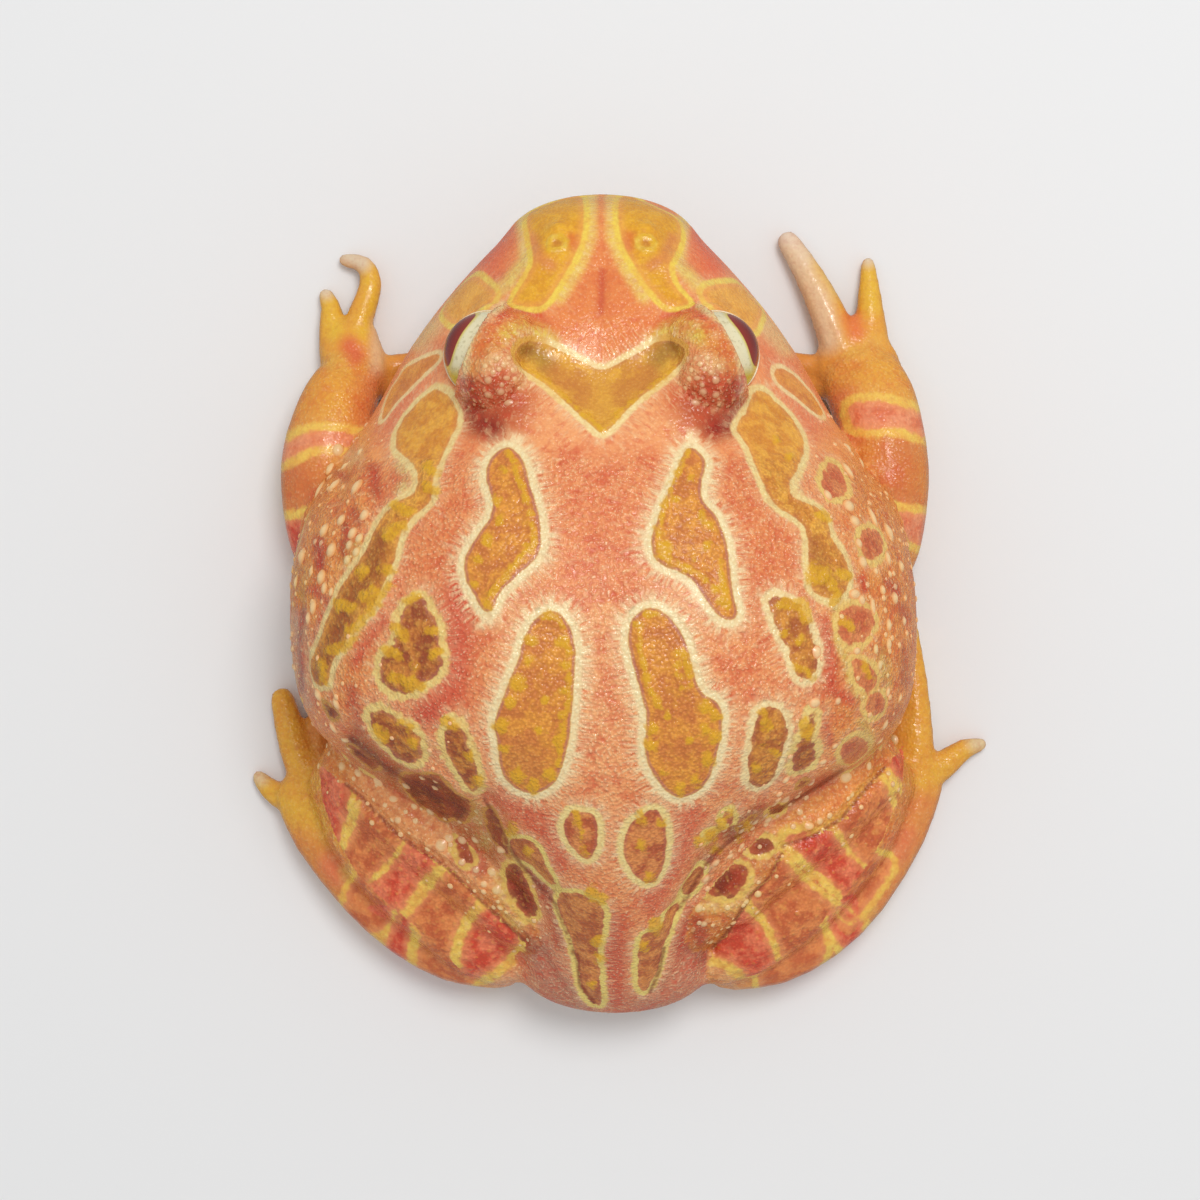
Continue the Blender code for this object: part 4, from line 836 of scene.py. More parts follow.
def rounded(outline, rounds=2):
    """A closed outline with its corners cut, twice over."""
    outline = np.array(outline, float)
    for _ in range(rounds):
        following = np.roll(outline, -1, axis=0)
        pair = (0.75 * outline + 0.25 * following, 0.25 * outline + 0.75 * following)
        outline = np.stack(pair, 1).reshape(-1, 2)
    return outline


def evenly(outline, spacing):
    """Spots on a closed outline at an even spacing."""
    closed = np.vstack((outline, outline[:1]))
    passed = np.concatenate(([0], np.cumsum(np.linalg.norm(np.diff(closed, axis=0), axis=1))))
    at = np.linspace(0, passed[-1], max(8, round(passed[-1] / spacing)), endpoint=False)
    return np.column_stack([np.interp(at, passed, closed[:, k]) for k in range(2)])


def inside(spots, outline):
    """Which spots lie inside a closed outline."""
    across, down = spots.T
    result = np.zeros(len(spots), bool)
    for (x1, y1), (x2, y2) in zip(outline, np.roll(outline, -1, axis=0)):
        if y1 != y2:
            result ^= ((y1 > down) != (y2 > down)) & (across < (x2 - x1) * (down - y1) / (y2 - y1) + x1)
    return result


def segment_distance(points, starts, ends):
    step = ends - starts
    length = np.maximum(np.einsum("ij,ij->i", step, step), 1e-18)
    share = np.clip(np.einsum("ij,ij->i", points - starts, step) / length, 0, 1)
    return np.linalg.norm(points - starts - share[:, None] * step, axis=1)


points, triangles = corners_and_triangles(skin_mesh)
facing = outward(points, triangles)
pixels = photo_pixels(points)
node_of = triangle_nodes[[solid_tree.find_nearest(point)[2] for point in points]]
on_limb = is_part(node_of, *LIMBS)
trunk_triangles = triangles[~on_limb[triangles].any(axis=1)]
trunk_tree = BVHTree.FromPolygons(points.tolist(), trunk_triangles.tolist())

# Every outline is laid on the hide as a ring of spots, and each point of the hide takes the look of the
# nearest ring, its distance from it and its place along it.
ring_spots, ring_next, ring_along, ring_look = [], [], [], []
within = np.zeros(len(points), bool)
look_names = list(LOOKS)


def lay_ring(hits, look):
    """Adds the ring where an outline meets the hide."""
    ring = [hit for hit in hits if hit]
    if not ring:
        return
    first = len(ring_spots)
    ring_spots.extend(ring)
    ring_next.extend([*range(first + 1, first + len(ring)), first])
    steps = [(b - a).length for a, b in zip(ring, ring[1:])]
    ring_along.extend(np.concatenate(([0], np.cumsum(steps))))
    ring_look.extend([look_names.index(look)] * len(ring))


def on_hide(outline, most_stretch):
    """Where an outline meets the hide, drawn in where it runs far down a steep side, and whether it is."""
    middle_spot = outline.mean(axis=0)
    middle = trunk_tree.ray_cast(CAMERA_PLACE, sight_line(middle_spot))[0]
    ring, drawn_in = [], False
    for spot in evenly(outline, SPOT_SPACING):
        hit = trunk_tree.ray_cast(CAMERA_PLACE, sight_line(spot))[0]
        if not hit:
            continue
        most = most_stretch * np.linalg.norm(spot - middle_spot) * PHOTO_PIXEL * MM
        if (hit - middle).length > most:
            hit = trunk_tree.find_nearest(middle + (hit - middle) * (most / (hit - middle).length))[0]
            drawn_in = True
        ring.append(hit)
    if drawn_in:
        line = np.array(ring)
        for _ in range(RING_SOFTENING):
            line = (np.roll(line, 1, axis=0) + 2 * line + np.roll(line, -1, axis=0)) / 4
        ring = [trunk_tree.find_nearest(spot)[0] for spot in line]
    return ring, drawn_in


def inside_ring(points, ring):
    """Which points lie inside a ring in space, seen square on to it."""
    ring = np.array(ring)
    arms, reach = ring - ring.mean(axis=0), points - ring.mean(axis=0)
    upright = np.cross(arms, np.roll(arms, -1, axis=0)).sum(axis=0)
    upright /= np.linalg.norm(upright)
    sideways = np.cross(upright, (0, 0, 1))
    sideways /= np.linalg.norm(sideways)
    plane = np.column_stack((sideways, np.cross(upright, sideways)))
    close = np.linalg.norm(reach, axis=1) < 1.1 * np.linalg.norm(arms, axis=1).max()
    close[close] = inside(reach[close] @ plane, arms @ plane)
    return close


for name, (look, outline) in TRUNK_PATCHES.items():
    outline = rounded(outline)
    ring, drawn_in = on_hide(outline, math.inf if name in DEEP_IN_FOLD else MOST_STRETCH)
    lay_ring(ring, look)
    near = ~on_limb & (facing[:, 2] > 0.03)
    if drawn_in:
        within |= near & inside_ring(points, ring)
        continue
    near &= around(pixels, outline, 1)
    within[near] |= inside(pixels[near], outline)
turn = np.linspace(0, 2 * math.pi, 48, endpoint=False)
for side, spots in SIDE_SPOTS.items():
    sideways = 1 if side == "left" else -1
    turned_out = ~on_limb & (facing[:, 0] * sideways > 0.2)
    for middle, height, half_length, half_height in spots:
        wobble = 1 + 0.12 * np.sin(3 * turn + middle)
        outline = np.column_stack((middle + half_length * wobble * np.cos(turn),
                                   height + half_height * wobble * np.sin(turn)))
        lay_ring((trunk_tree.ray_cast(Vector((sideways, y * MM, z * MM)), Vector((-sideways, 0, 0)))[0]
                  for y, z in outline), "spot")
        near = turned_out & around(points[:, 1:] / MM, outline, 1)
        within[near] |= inside(points[near, 1:] / MM, outline)

ring_spots, ring_next = np.array(ring_spots), np.array(ring_next)
ring_previous = np.empty(len(ring_next), int)
ring_previous[ring_next] = np.arange(len(ring_next))
ring_tree = KDTree(len(ring_spots))
for number, spot in enumerate(ring_spots):
    ring_tree.insert(spot, number)
ring_tree.balance()

trunk = np.flatnonzero(~on_limb)
nearest = np.array([ring_tree.find(points[k])[1] for k in trunk])
gap = np.minimum(segment_distance(points[trunk], ring_spots[nearest], ring_spots[ring_next[nearest]]),
                 segment_distance(points[trunk], ring_spots[nearest], ring_spots[ring_previous[nearest]]))
look_of = np.zeros(len(points), int)
edge = np.full(len(points), FAR_EDGE)
along = np.zeros(len(points))
edge[trunk] = gap / MM
along[trunk] = np.array(ring_along)[nearest] / MM
look_of[trunk] = np.array(ring_look)[nearest]

limb = np.flatnonzero(on_limb)
limb_pixels = pixels[limb]
stretch_of = np.where(is_part(node_of[limb], "upper_arm", "forearm", "hand"), "arm", "thigh")
leg = stretch_of == "thigh"
for shank_outline, foot_outline in (
        (CREASES["thigh left"][::-1] + ((318, 762),) + CREASES["foot left"] + ((505, 1010), (560, 1010)),
         ((318, 762),) + CREASES["foot left"] + ((505, 1040), (200, 1040), (200, 640), (300, 640))),
        (CREASES["thigh right"] + CREASES["heel right"] + ((690, 1010), (715, 1010))
         + CREASES["foot right"][::-1] + ((905, 742),),
         ((905, 742),) + CREASES["foot right"] + ((715, 1040), (1040, 1040), (1040, 560), (915, 560)))):
    stretch_of[leg & inside(limb_pixels, np.array(shank_outline, float))] = "shank"
    stretch_of[leg & inside(limb_pixels, np.array(foot_outline, float))] = "foot"
pixel_size = (CAMERA_PLACE.z - points[limb, 2]) * PIXEL / MM
best = np.full(len(limb), 99.0)
for look, stretch, outline in LIMB_PATCHES.values():
    outline = rounded(outline)
    here = (stretch_of == stretch) & around(limb_pixels, outline, 40)
    gap, passed = path_distance(limb_pixels[here], np.vstack((outline, outline[:1])))
    gap, passed = gap * pixel_size[here], passed * pixel_size[here]
    closer = gap < best[here]
    chosen = np.flatnonzero(here)[closer]
    best[chosen] = gap[closer]
    along[limb[chosen]] = passed[closer]
    look_of[limb[chosen]] = look_names.index(look)
    within[limb[here]] |= inside(limb_pixels[here], outline)
edge[limb] = best

looks = list(LOOKS.values())
inner, deep, rim = (np.array([tint(look[k]) for look in looks])[look_of] for k in range(3))
rim_width, line, fray, ragged = (np.array([look[k] for look in looks])[look_of] for k in range(3, 7))
jaw = is_part(node_of, "lower_jaw")
within &= ~jaw
edge[jaw] = np.maximum(edge[jaw], 4)
edge = np.where(within, -edge, edge / rim_width)

ground = np.where(on_limb[:, None], tint(LIMB_GROUND), tint(TRUNK_GROUND))
for tints, here, colour_sets in ((TRUNK_TINTS, ~on_limb, (ground,)), (LIMB_TINTS, on_limb, (ground,)),
                                 (INNER_TINTS, within, (inner, deep)), (RIM_TINTS, ~on_limb, (rim,))):
    for path, reach, colour, strength in tints.values():
        near = here & around(pixels, path, TINT_SPREAD * reach)
        share = strength * bell(path_distance(pixels[near], path)[0], TINT_SPREAD * reach)
        if colour_sets[0] is ground and reach < WIDE_TINT:
            share *= np.clip(facing[near, 2] / UPRIGHT, 0, 1)
        for colours in colour_sets:
            colours[near] += (tint(colour) - colours[near]) * share[:, None]
under = np.clip(-0.05 - facing[:, 2] * 1.5, 0, 1)[:, None] * np.where(on_limb, 0.55, 1)[:, None]
ground += (tint(UNDERSIDE) - ground) * under

gold = np.full(len(points), FAR_LINE)
here = ~on_limb & (facing[:, 2] > 0.03)
for path, half_width in GOLD_RIDGES.values():
    near = here & around(pixels, path, LINE_SEARCH)
    gap = (path_distance(pixels[near], path)[0] - half_width) * PHOTO_PIXEL
    gold[near] = np.minimum(gold[near], gap)
for across, down, radius in GOLD_BEADS:
    near = here & around(pixels, [(across, down)], LINE_SEARCH)
    gap = (np.linalg.norm(pixels[near] - (across, down), axis=1) - BEAD_GROWTH * radius) * PHOTO_PIXEL
    gold[near] = np.minimum(gold[near], gap)

# The bottoms of the folds and creases are darkened in thin lines of painted shade.
crease = np.full(len(points), FAR_LINE)
thigh_creases = {name: path for name, path in CREASES.items() if not name.startswith("foot")}
for lines, here in ((FOLD_LINES, ~on_limb), (thigh_creases, on_limb)):
    for path in lines.values():
        near = here & (facing[:, 2] > 0.0) & around(pixels, path, LINE_SEARCH)
        crease[near] = np.minimum(crease[near], path_distance(pixels[near], path)[0] * PHOTO_PIXEL)

# How strongly the granules stand out on each form.
GRIT = {
    "torso": 1.0, "head": 0.38, "lower_jaw": 0.5, "upper_lid": 0.85, "upper_arm": 0.8, "forearm": 0.45,
    "hand": 0.2, "thigh": 0.8, "shank": 0.7, "foot": 0.35,
}
skin_edges = read(skin_mesh.edges, "vertices", 2, np.int32)
grit = relaxed(by_form(GRIT)[node_of], skin_edges, 0.8, 10)


def keep_values(mesh, name, values):
    """Stores one number or one colour for each point of a mesh, for its material to read."""
    if values.ndim == 1:
        mesh.attributes.new(name, "FLOAT", "POINT").data.foreach_set("value", values.astype(np.float32))
    else:
        full = np.column_stack((values, np.ones(len(values)))).astype(np.float32)
        mesh.attributes.new(name, "FLOAT_COLOR", "POINT").data.foreach_set("color", full.ravel())


HIDE_VALUES = {
    "edge": edge, "along": along, "gold": gold, "grit": grit, "crease": crease, "line": line, "fray": fray,
    "ragged": ragged, "inner": inner, "deep": deep, "rim": rim, "ground": ground,
}
for name, values in HIDE_VALUES.items():
    keep_values(skin_mesh, name, values)

# The hide is moist and softly shining, and pebbled all over with granules of about half a millimetre. Its
# colours lie in the hide; the pits between the granules get painted shade and their tips painted highlight.
PEBBLE = 0.40 * MM
KNOB = 1.0 * MM
HIDE_ROUGHNESS = 0.42
HIDE_RED = "#D8492E"
PALE_STREAK = "#F8CC96"
# The pit colours below are painted shade between the granules, and the speck colours painted highlight on
# their tips.
PAINTED_PIT_SHADE = "#C43A20"
PAINTED_TIP_HIGHLIGHT = "#FFE0B4"
GLOW_CREAM = "#F9DCA8"
RIM_PIT_SHADE = "#DE9C44"
RIM_MOTTLE = "#EC9E48"
RIM_LINE = "#B4766E"
PATCH_PIT_SHADE = "#8A3C18"
PATCH_TIP_HIGHLIGHT = "#F2C878"
PATCH_MARGIN = "#F2A066"
PATCH_BORDER = "#D8A048"
GOLD = "#E3AC22"
# The knob foot colour is painted shade between the knobs; the knob tip colours are partly painted
# highlight.
KNOB_FOOT_SHADE = "#9C3A1E"
GOLD_KNOB_TIP = "#E4AE50"
PALE_KNOB_TIP = "#F6CC92"
SHADE_BROWN = "#B04A24"
# The crease colour is painted shade in the bottoms of folds and creases.
CREASE_SHADE_BROWN = "#86301A"
RELIEF = 0.20 * MM


def add(tree, kind, inputs=(), out=0, family="ShaderNode", **settings):
    """Adds a node, sets or links its inputs, and gives back one of its outputs."""
    made = tree.nodes.new(family + kind)
    for field, value in settings.items():
        setattr(made, field, value)
    for key, value in dict(inputs).items():
        if isinstance(value, bpy.types.NodeSocket):
            tree.links.new(value, made.inputs[key])
        else:
            made.inputs[key].default_value = value
    return made.outputs[out]


def reckon(tree, operation, first, second):
    return add(tree, "Math", {0: first, 1: second}, operation=operation)


def plus(tree, first, second):
    return reckon(tree, "ADD", first, second)


def minus(tree, first, second):
    return reckon(tree, "SUBTRACT", first, second)


def times(tree, first, second):
    return reckon(tree, "MULTIPLY", first, second)


def ease(tree, value, start, end, low=0.0, high=1.0):
    """A smooth step of a value, from low at its start to high at its end."""
    return add(tree, "MapRange", {"Value": value, "From Min": start, "From Max": end, "To Min": low,
                                  "To Max": high}, interpolation_type="SMOOTHSTEP")


def mixed(tree, share, first, second):
    """Two colours mixed, each a socket or a colour's numbers."""
    first, second = (colour if isinstance(colour, bpy.types.NodeSocket) else (*colour, 1)
                     for colour in (first, second))
    return add(tree, "Mix", {0: share, 6: first, 7: second}, out=2, data_type="RGBA")


def value_of(tree, name, out="Fac"):
    return add(tree, "Attribute", out=out, attribute_name=name)


def new_material(name, roughness):
    material = bpy.data.materials.new(name)
    material.use_nodes = True
    shader = material.node_tree.nodes["Principled BSDF"]
    shader.inputs["Roughness"].default_value = roughness
    return material, material.node_tree, shader


pebbles = bpy.data.node_groups.new("pebbles", "ShaderNodeTree")
for label, way in (("Granule", "INPUT"), ("Height", "OUTPUT"), ("Shade", "OUTPUT")):
    pebbles.interface.new_socket(label, in_out=way, socket_type="NodeSocketFloat")
group_in, group_out = pebbles.nodes.new("NodeGroupInput"), pebbles.nodes.new("NodeGroupOutput")
place = add(pebbles, "TexCoord", out="Object")
per_metre = reckon(pebbles, "DIVIDE", 1.0, group_in.outputs["Granule"])
cell = add(pebbles, "TexVoronoi", {"Vector": place, "Scale": per_metre, "Randomness": 0.9}, out="Distance",
           feature="SMOOTH_F1")
cell_tone = add(pebbles, "TexNoise", {"Vector": place, "Scale": times(pebbles, per_metre, 0.6),
                                      "Detail": 3.0, "Roughness": 0.6})
pebble_height = plus(pebbles, ease(pebbles, cell, 0.05, 0.75, 1.0, 0.0), times(pebbles, cell_tone, 0.5))
pebbles.links.new(pebble_height, group_out.inputs["Height"])
pebbles.links.new(cell_tone, group_out.inputs["Shade"])


def add_group(tree, group, **inputs):
    made = tree.nodes.new("ShaderNodeGroup")
    made.node_tree = group
    for key, value in inputs.items():
        made.inputs[key].default_value = value
    return made


hide_material, tree, shader = new_material("hide", HIDE_ROUGHNESS)
grain = add_group(tree, pebbles, Granule=PEBBLE).outputs
knobs = add_group(tree, pebbles, Granule=KNOB).outputs
place = add(tree, "TexCoord", out="Object")
edge_at, along_at, gold_at, grit_at, line_at, fray_at, ragged_at, crease_at, knobby_at = (
    value_of(tree, name)
    for name in ("edge", "along", "gold", "grit", "line", "fray", "ragged", "crease", "knobby"))
wander = minus(tree, add(tree, "TexNoise", {"Vector": place, "Scale": 800.0, "Detail": 2.0}), 0.5)


def streaks(across, outwards, seed):
    """Noise drawn out away from the patches, with so many streaks to the mm across and outwards."""
    spot = add(tree, "CombineXYZ", {0: times(tree, along_at, across), 1: times(tree, edge_at, outwards),
                                    2: seed})
    return minus(tree, add(tree, "TexNoise", {"Vector": spot, "Scale": 1.0, "Detail": 1.0}), 0.5)


def covered(share, below, code):
    """A colour of the material at work with another over it, by a share."""
    return mixed(tree, share, below, tint(code))


# The ground round the patches is mottled red and streaked away from the patches, darkened with painted
# shade in the pits between its granules and paled with painted highlight on their tips.
fringe, red_streak = streaks(3.0, 0.4, 3.0), streaks(1.5, 0.5, 9.0)
mottle = add(tree, "TexNoise", {"Vector": place, "Scale": 330.0, "Detail": 5.0, "Roughness": 0.7})
streaky = ease(tree, fray_at, 0.08, 0.5)
plain = minus(tree, 1.0, streaky)
tone = covered(times(tree, ease(tree, mottle, 0.44, 0.68, 0.0, 0.52), ease(tree, grit_at, 0.1, 0.7)),
               value_of(tree, "ground", "Color"), HIDE_RED)
tone = covered(times(tree, ease(tree, red_streak, 0.0, 0.22, 0.0, 0.42), streaky), tone, HIDE_RED)
tone = covered(times(tree, ease(tree, fringe, 0.02, 0.25, 0.0, 0.45), streaky), tone, PALE_STREAK)
# Painted shade darkens the pits between the granules and painted highlight pales their tips.
tone = covered(times(tree, ease(tree, grain["Height"], 0.35, 0.8, 0.30, 0.0), grit_at), tone, PAINTED_PIT_SHADE)
tone = covered(times(tree, ease(tree, grain["Height"], 0.98, 1.32, 0.0, 0.5), grit_at), tone, PAINTED_TIP_HIGHLIGHT)
glow = times(tree, ease(tree, edge_at, 0.9, 3.5, 0.85, 0.0), plus(tree, 0.62, times(tree, fringe, 3.4)))
glow = times(tree, reckon(tree, "MAXIMUM", glow, 0.0), fray_at)
tone = covered(reckon(tree, "MINIMUM", glow, 1.0), tone, GLOW_CREAM)

# A rim's outer edge is fringed or beaded, as its look says.
beads = ease(tree, ragged_at, 0.7, 1.4)
beaded = times(tree, minus(tree, 0.85, knobs["Height"]), times(tree, beads, 0.4))
rim_edge = plus(tree, edge_at, times(tree, times(tree, fringe, 0.9), streaky))
rim_edge = plus(tree, rim_edge, times(tree, wander, times(tree, ragged_at, 0.7)))
rim_share = ease(tree, plus(tree, rim_edge, beaded), 0.70, 1.30, 1.0, 0.0)
# The rim is darkened with painted shade in the pits between its granules.
rim_tone = covered(ease(tree, grain["Height"], 0.45, 0.95, 0.22, 0.0), value_of(tree, "rim", "Color"),
                   RIM_PIT_SHADE)
rim_tone = covered(times(tree, ease(tree, mottle, 0.42, 0.66, 0.0, 0.6), plain), rim_tone, RIM_MOTTLE)
tone = mixed(tree, rim_share, tone, rim_tone)

# The inside of a patch is blotched in its two colours and bounded by a ragged edge and a fine line, with
# painted shade in the pits between its granules and painted highlight on their tips.
rough_edge = plus(tree, edge_at, times(tree, wander, ragged_at))
rough_edge = minus(tree, rough_edge, times(tree, beaded, 0.7))
rough_edge = plus(tree, rough_edge, times(tree, beads, 0.16))
blotch = add(tree, "TexNoise", {"Vector": place, "Scale": 420.0, "Detail": 3.0, "Roughness": 0.6})
patch = mixed(tree, ease(tree, blotch, 0.40, 0.60), value_of(tree, "deep", "Color"),
              value_of(tree, "inner", "Color"))
# Painted shade in the pits and painted highlight on the granules' tips.
patch = covered(times(tree, ease(tree, grain["Height"], 0.40, 0.95, 0.30, 0.0), grit_at), patch, PATCH_PIT_SHADE)
patch = covered(ease(tree, grain["Height"], 1.0, 1.4, 0.0, 0.28), patch, PATCH_TIP_HIGHLIGHT)
patch = covered(times(tree, ease(tree, edge_at, -1.3, -0.2, 0.0, 0.5), plain), patch, PATCH_MARGIN)
patch = covered(times(tree, ease(tree, rough_edge, -0.50, -0.20, 0.0, 0.65), line_at), patch, RIM_LINE)
tone = covered(times(tree, ease(tree, rough_edge, 0.22, 0.0), line_at), tone, PATCH_BORDER)
border = ease(tree, streaky, 0.0, 1.0, 0.30, 0.11)
tone = mixed(tree, ease(tree, rough_edge, times(tree, border, -1.0), border, 1.0, 0.0), tone, patch)

# Over both lie the gold ridges, the knobs with painted shade at their feet and tips paled partly by pigment
# and partly by painted highlight, the soft shading from granule to granule and the creases in painted
# shade.
gold_edge = plus(tree, gold_at, times(tree, wander, 2.0))
tone = covered(ease(tree, gold_edge, -0.30, 0.35, 0.82, 0.0), tone, GOLD)
# Knob tips are paled, partly as pigment and partly as painted highlight; their feet get painted shade.
knob_tip_and_highlight = times(tree, ease(tree, knobs["Height"], 0.9, 1.35, 0.0, 0.55), knobby_at)
knob_foot_shade = times(tree, ease(tree, knobs["Height"], 0.3, 0.75, 0.35, 0.0), knobby_at)
tip_tone = mixed(tree, ease(tree, edge_at, -0.3, 0.2), tint(GOLD_KNOB_TIP), tint(PALE_KNOB_TIP))
tone = mixed(tree, knob_tip_and_highlight, covered(knob_foot_shade, tone, KNOB_FOOT_SHADE), tip_tone)
tone = covered(ease(tree, grain["Shade"], 0.30, 0.55, 0.16, 0.0), tone, SHADE_BROWN)
# Painted shade darkens the bottoms of the folds and creases.
crease_edge = plus(tree, crease_at, times(tree, wander, 0.15))
tone = covered(ease(tree, crease_edge, 0.06, 0.48, 0.72, 0.0), tone, CREASE_SHADE_BROWN)
tree.links.new(tone, shader.inputs["Base Color"])
tree.links.new(ease(tree, grain["Shade"], 0.38, 0.62, 0.42, 0.16), shader.inputs["Roughness"])
worn = minus(tree, 1.0, times(tree, rim_share, 0.35))
relief = plus(tree, times(tree, grain["Height"], times(tree, grit_at, worn)),
              times(tree, knobs["Height"], times(tree, knobby_at, 1.8)))
bump = add(tree, "Bump", {"Strength": 0.8, "Distance": RELIEF, "Height": relief}, out="Normal")
tree.links.new(bump, shader.inputs["Normal"])
shader.inputs["Specular IOR Level"].default_value = 0.3
shader.inputs["Coat Weight"].default_value = 0.05
shader.inputs["Coat Roughness"].default_value = 0.18
skin_mesh.materials.clear()
skin_mesh.materials.append(hide_material)

for node in FLESH:
    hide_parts(node)
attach(skin, "root")

# The warts of the flanks and thighs are small blunt cones of the hide itself, paler than the ground that
# they stand on. They are scattered over the hide, closest on the flanks, and the hide is knobby under them.
WART_SPACING = 1.55 * MM
WART_DENSITY = 420000.0
WART_RADIUS = 0.78 * MM
WART_SEED = 11
WART_SIDES, WART_LEVELS = 9, 6
WART_FLATNESS, WART_SINK = 0.6, -0.14
LEAST_WART, MOST_WART = 0.5, 1.15
SMALL_WART = 0.35
# Each zone is a path in the photograph, its reach in pixels, how close the warts stand and their size.
WART_ZONES = {
    "flank left": (((350, 430), (318, 480), (306, 560), (306, 640), (330, 710)), 60, 0.5, 0.6),
    "flank left inner": (((345, 600), (380, 690), (440, 760)), 46, 0.35, 0.5),
    "flank right": (((850, 430), (878, 480), (892, 560), (894, 640), (866, 710)), 60, 0.5, 0.6),
    "flank right inner": (((850, 620), (820, 700), (770, 800)), 46, 0.4, 0.5),
    "hip left": (((440, 790), (500, 850), (540, 900)), 30, 0.5, 0.6),
    "hip right": (((800, 790), (740, 830), (700, 890)), 30, 0.7, 0.7),
}
THIGH_WARTS = (0.8, 0.6)
LOW_FLANK_WARTS = (0.5, 0.8)
PATCH_WARTS = 0.25
TORSO_KNOBS = 0.12
SHANK_KNOBS = 0.8
FOOT_KNOBS = 0.5
PATCH_KNOBS = 0.7
KNOBBY_LOOKS = ("flank", "temple", "flank right")
LID_MOUNDS = ((490, 400), (714, 400))
LID_MOUND_REACH = 46
LID_MOUND_KNOBS = 2.2
BARE_ROUND_EYES = 1.0 * MM
BARE_NEAR_FLOOR = 3 * MM
THIGH_PALENESS, TRUNK_PALENESS = 0.9, 0.75
WART_FOOT, WART_TIP, WART_SHADE = "#EFC890", "#F4DCA4", "#C0703C"

warty = np.zeros(len(points))
wart_size = np.full(len(points), SMALL_WART)
for path, reach, closeness, size in WART_ZONES.values():
    near = ~on_limb & around(pixels, path, TINT_SPREAD * reach)
    share = bell(path_distance(pixels[near], path)[0], TINT_SPREAD * reach)
    warty[near] = np.maximum(warty[near], closeness * share)
    wart_size[near] = np.maximum(wart_size[near], size * np.sqrt(share))
thigh = is_part(node_of, "thigh")
warty[thigh], wart_size[thigh] = THIGH_WARTS
knobby = np.maximum(warty, TORSO_KNOBS * is_part(node_of, "torso"))
knobby[is_part(node_of, "shank")] = SHANK_KNOBS
knobby[is_part(node_of, "foot")] = FOOT_KNOBS
for mound in LID_MOUNDS:
    from_mound = np.linalg.norm(pixels - mound, axis=1)
    knobby = np.maximum(knobby, LID_MOUND_KNOBS * bell(from_mound, LID_MOUND_REACH) * (facing[:, 2] > 0))
patch_knobs = np.isin(look_of, [look_names.index(look) for look in KNOBBY_LOOKS]) & (edge < 0)
knobby[patch_knobs] = np.maximum(knobby[patch_knobs], PATCH_KNOBS)
low_flank = is_part(node_of, "torso") & (facing[:, 2] < SEEN_FROM_ABOVE)
warty[low_flank], wart_size[low_flank] = LOW_FLANK_WARTS
warty[edge < 0.0] *= PATCH_WARTS
for centre in eye_centres.values():
    warty[np.linalg.norm(points - centre, axis=1) < eye_radius + BARE_ROUND_EYES] = 0
warty[is_part(node_of, "hand", "foot", "forearm", "shank")] = 0
warty[(points[:, 2] < BARE_NEAR_FLOOR) | (facing[:, 2] < -0.5)] = 0
keep_values(skin_mesh, "knobby", np.clip(relaxed(knobby, skin_edges, 0.8, 6), 0, 1) * grit)
keep_values(skin_mesh, "warty", warty)
keep_values(skin_mesh, "paleness", np.where(thigh, THIGH_PALENESS, TRUNK_PALENESS))
keep_values(skin_mesh, "wart_size", wart_size)

wart_material, tree, shader = new_material("wart", 0.4)
grain = add_group(tree, pebbles, Granule=PEBBLE).outputs
wart_ground = value_of(tree, "ground", "Color")
foot_colour = mixed(tree, 0.12, wart_ground, tint(WART_FOOT))
tip_colour = covered(times(tree, value_of(tree, "paleness"), 0.68), wart_ground, WART_TIP)
wart_colour = mixed(tree, ease(tree, value_of(tree, "tip"), 0.1, 0.75), foot_colour, tip_colour)
wart_colour = covered(ease(tree, grain["Shade"], 0.3, 0.6, 0.15, 0.0), wart_colour, WART_SHADE)
tree.links.new(wart_colour, shader.inputs["Base Color"])
shader.inputs["Coat Weight"].default_value = 0.3
shader.inputs["Coat Roughness"].default_value = 0.2

warts_tree = bpy.data.node_groups.new("warts", "GeometryNodeTree")
warts_tree.interface.new_socket("Geometry", in_out="INPUT", socket_type="NodeSocketGeometry")
wart_inputs = {}
for label, start_value, kind in (("Spacing", WART_SPACING, "Float"), ("Density", WART_DENSITY, "Float"),
                                 ("Radius", WART_RADIUS, "Float"), ("Seed", WART_SEED, "Int")):
    made = warts_tree.interface.new_socket(label, in_out="INPUT", socket_type="NodeSocket" + kind)
    wart_inputs[made.identifier] = start_value
warts_tree.interface.new_socket("Geometry", in_out="OUTPUT", socket_type="NodeSocketGeometry")


def grow(kind, inputs=(), out="Geometry", family="GeometryNode", **settings):
    """Adds a node to the tree of the warts, sets or links its inputs, and gives back one of its outputs."""
    return add(warts_tree, kind, inputs, out, family, **settings)


given = warts_tree.nodes.new("NodeGroupInput").outputs
scatter = warts_tree.nodes.new("GeometryNodeDistributePointsOnFaces")
scatter.distribute_method = "POISSON"
closeness = grow("InputNamedAttribute", {"Name": "warty"}, "Attribute", data_type="FLOAT")
for key, value in (("Mesh", given["Geometry"]), ("Distance Min", given["Spacing"]),
                   ("Density Max", given["Density"]), ("Density Factor", closeness),
                   ("Seed", given["Seed"])):
    warts_tree.links.new(value, scatter.inputs[key])
cone = grow("MeshUVSphere", {"Segments": WART_SIDES, "Rings": WART_LEVELS, "Radius": 1.0}, "Mesh")
height = grow("SeparateXYZ", {0: grow("InputPosition", out="Position")}, "Z", "ShaderNode")
cone = grow("StoreNamedAttribute", {"Geometry": cone, "Name": "tip", "Value": height}, data_type="FLOAT",
            domain="POINT")
cone = grow("Transform", {"Geometry": cone, "Scale": (1.0, 1.0, WART_FLATNESS),
                          "Translation": (0.0, 0.0, WART_SINK)})
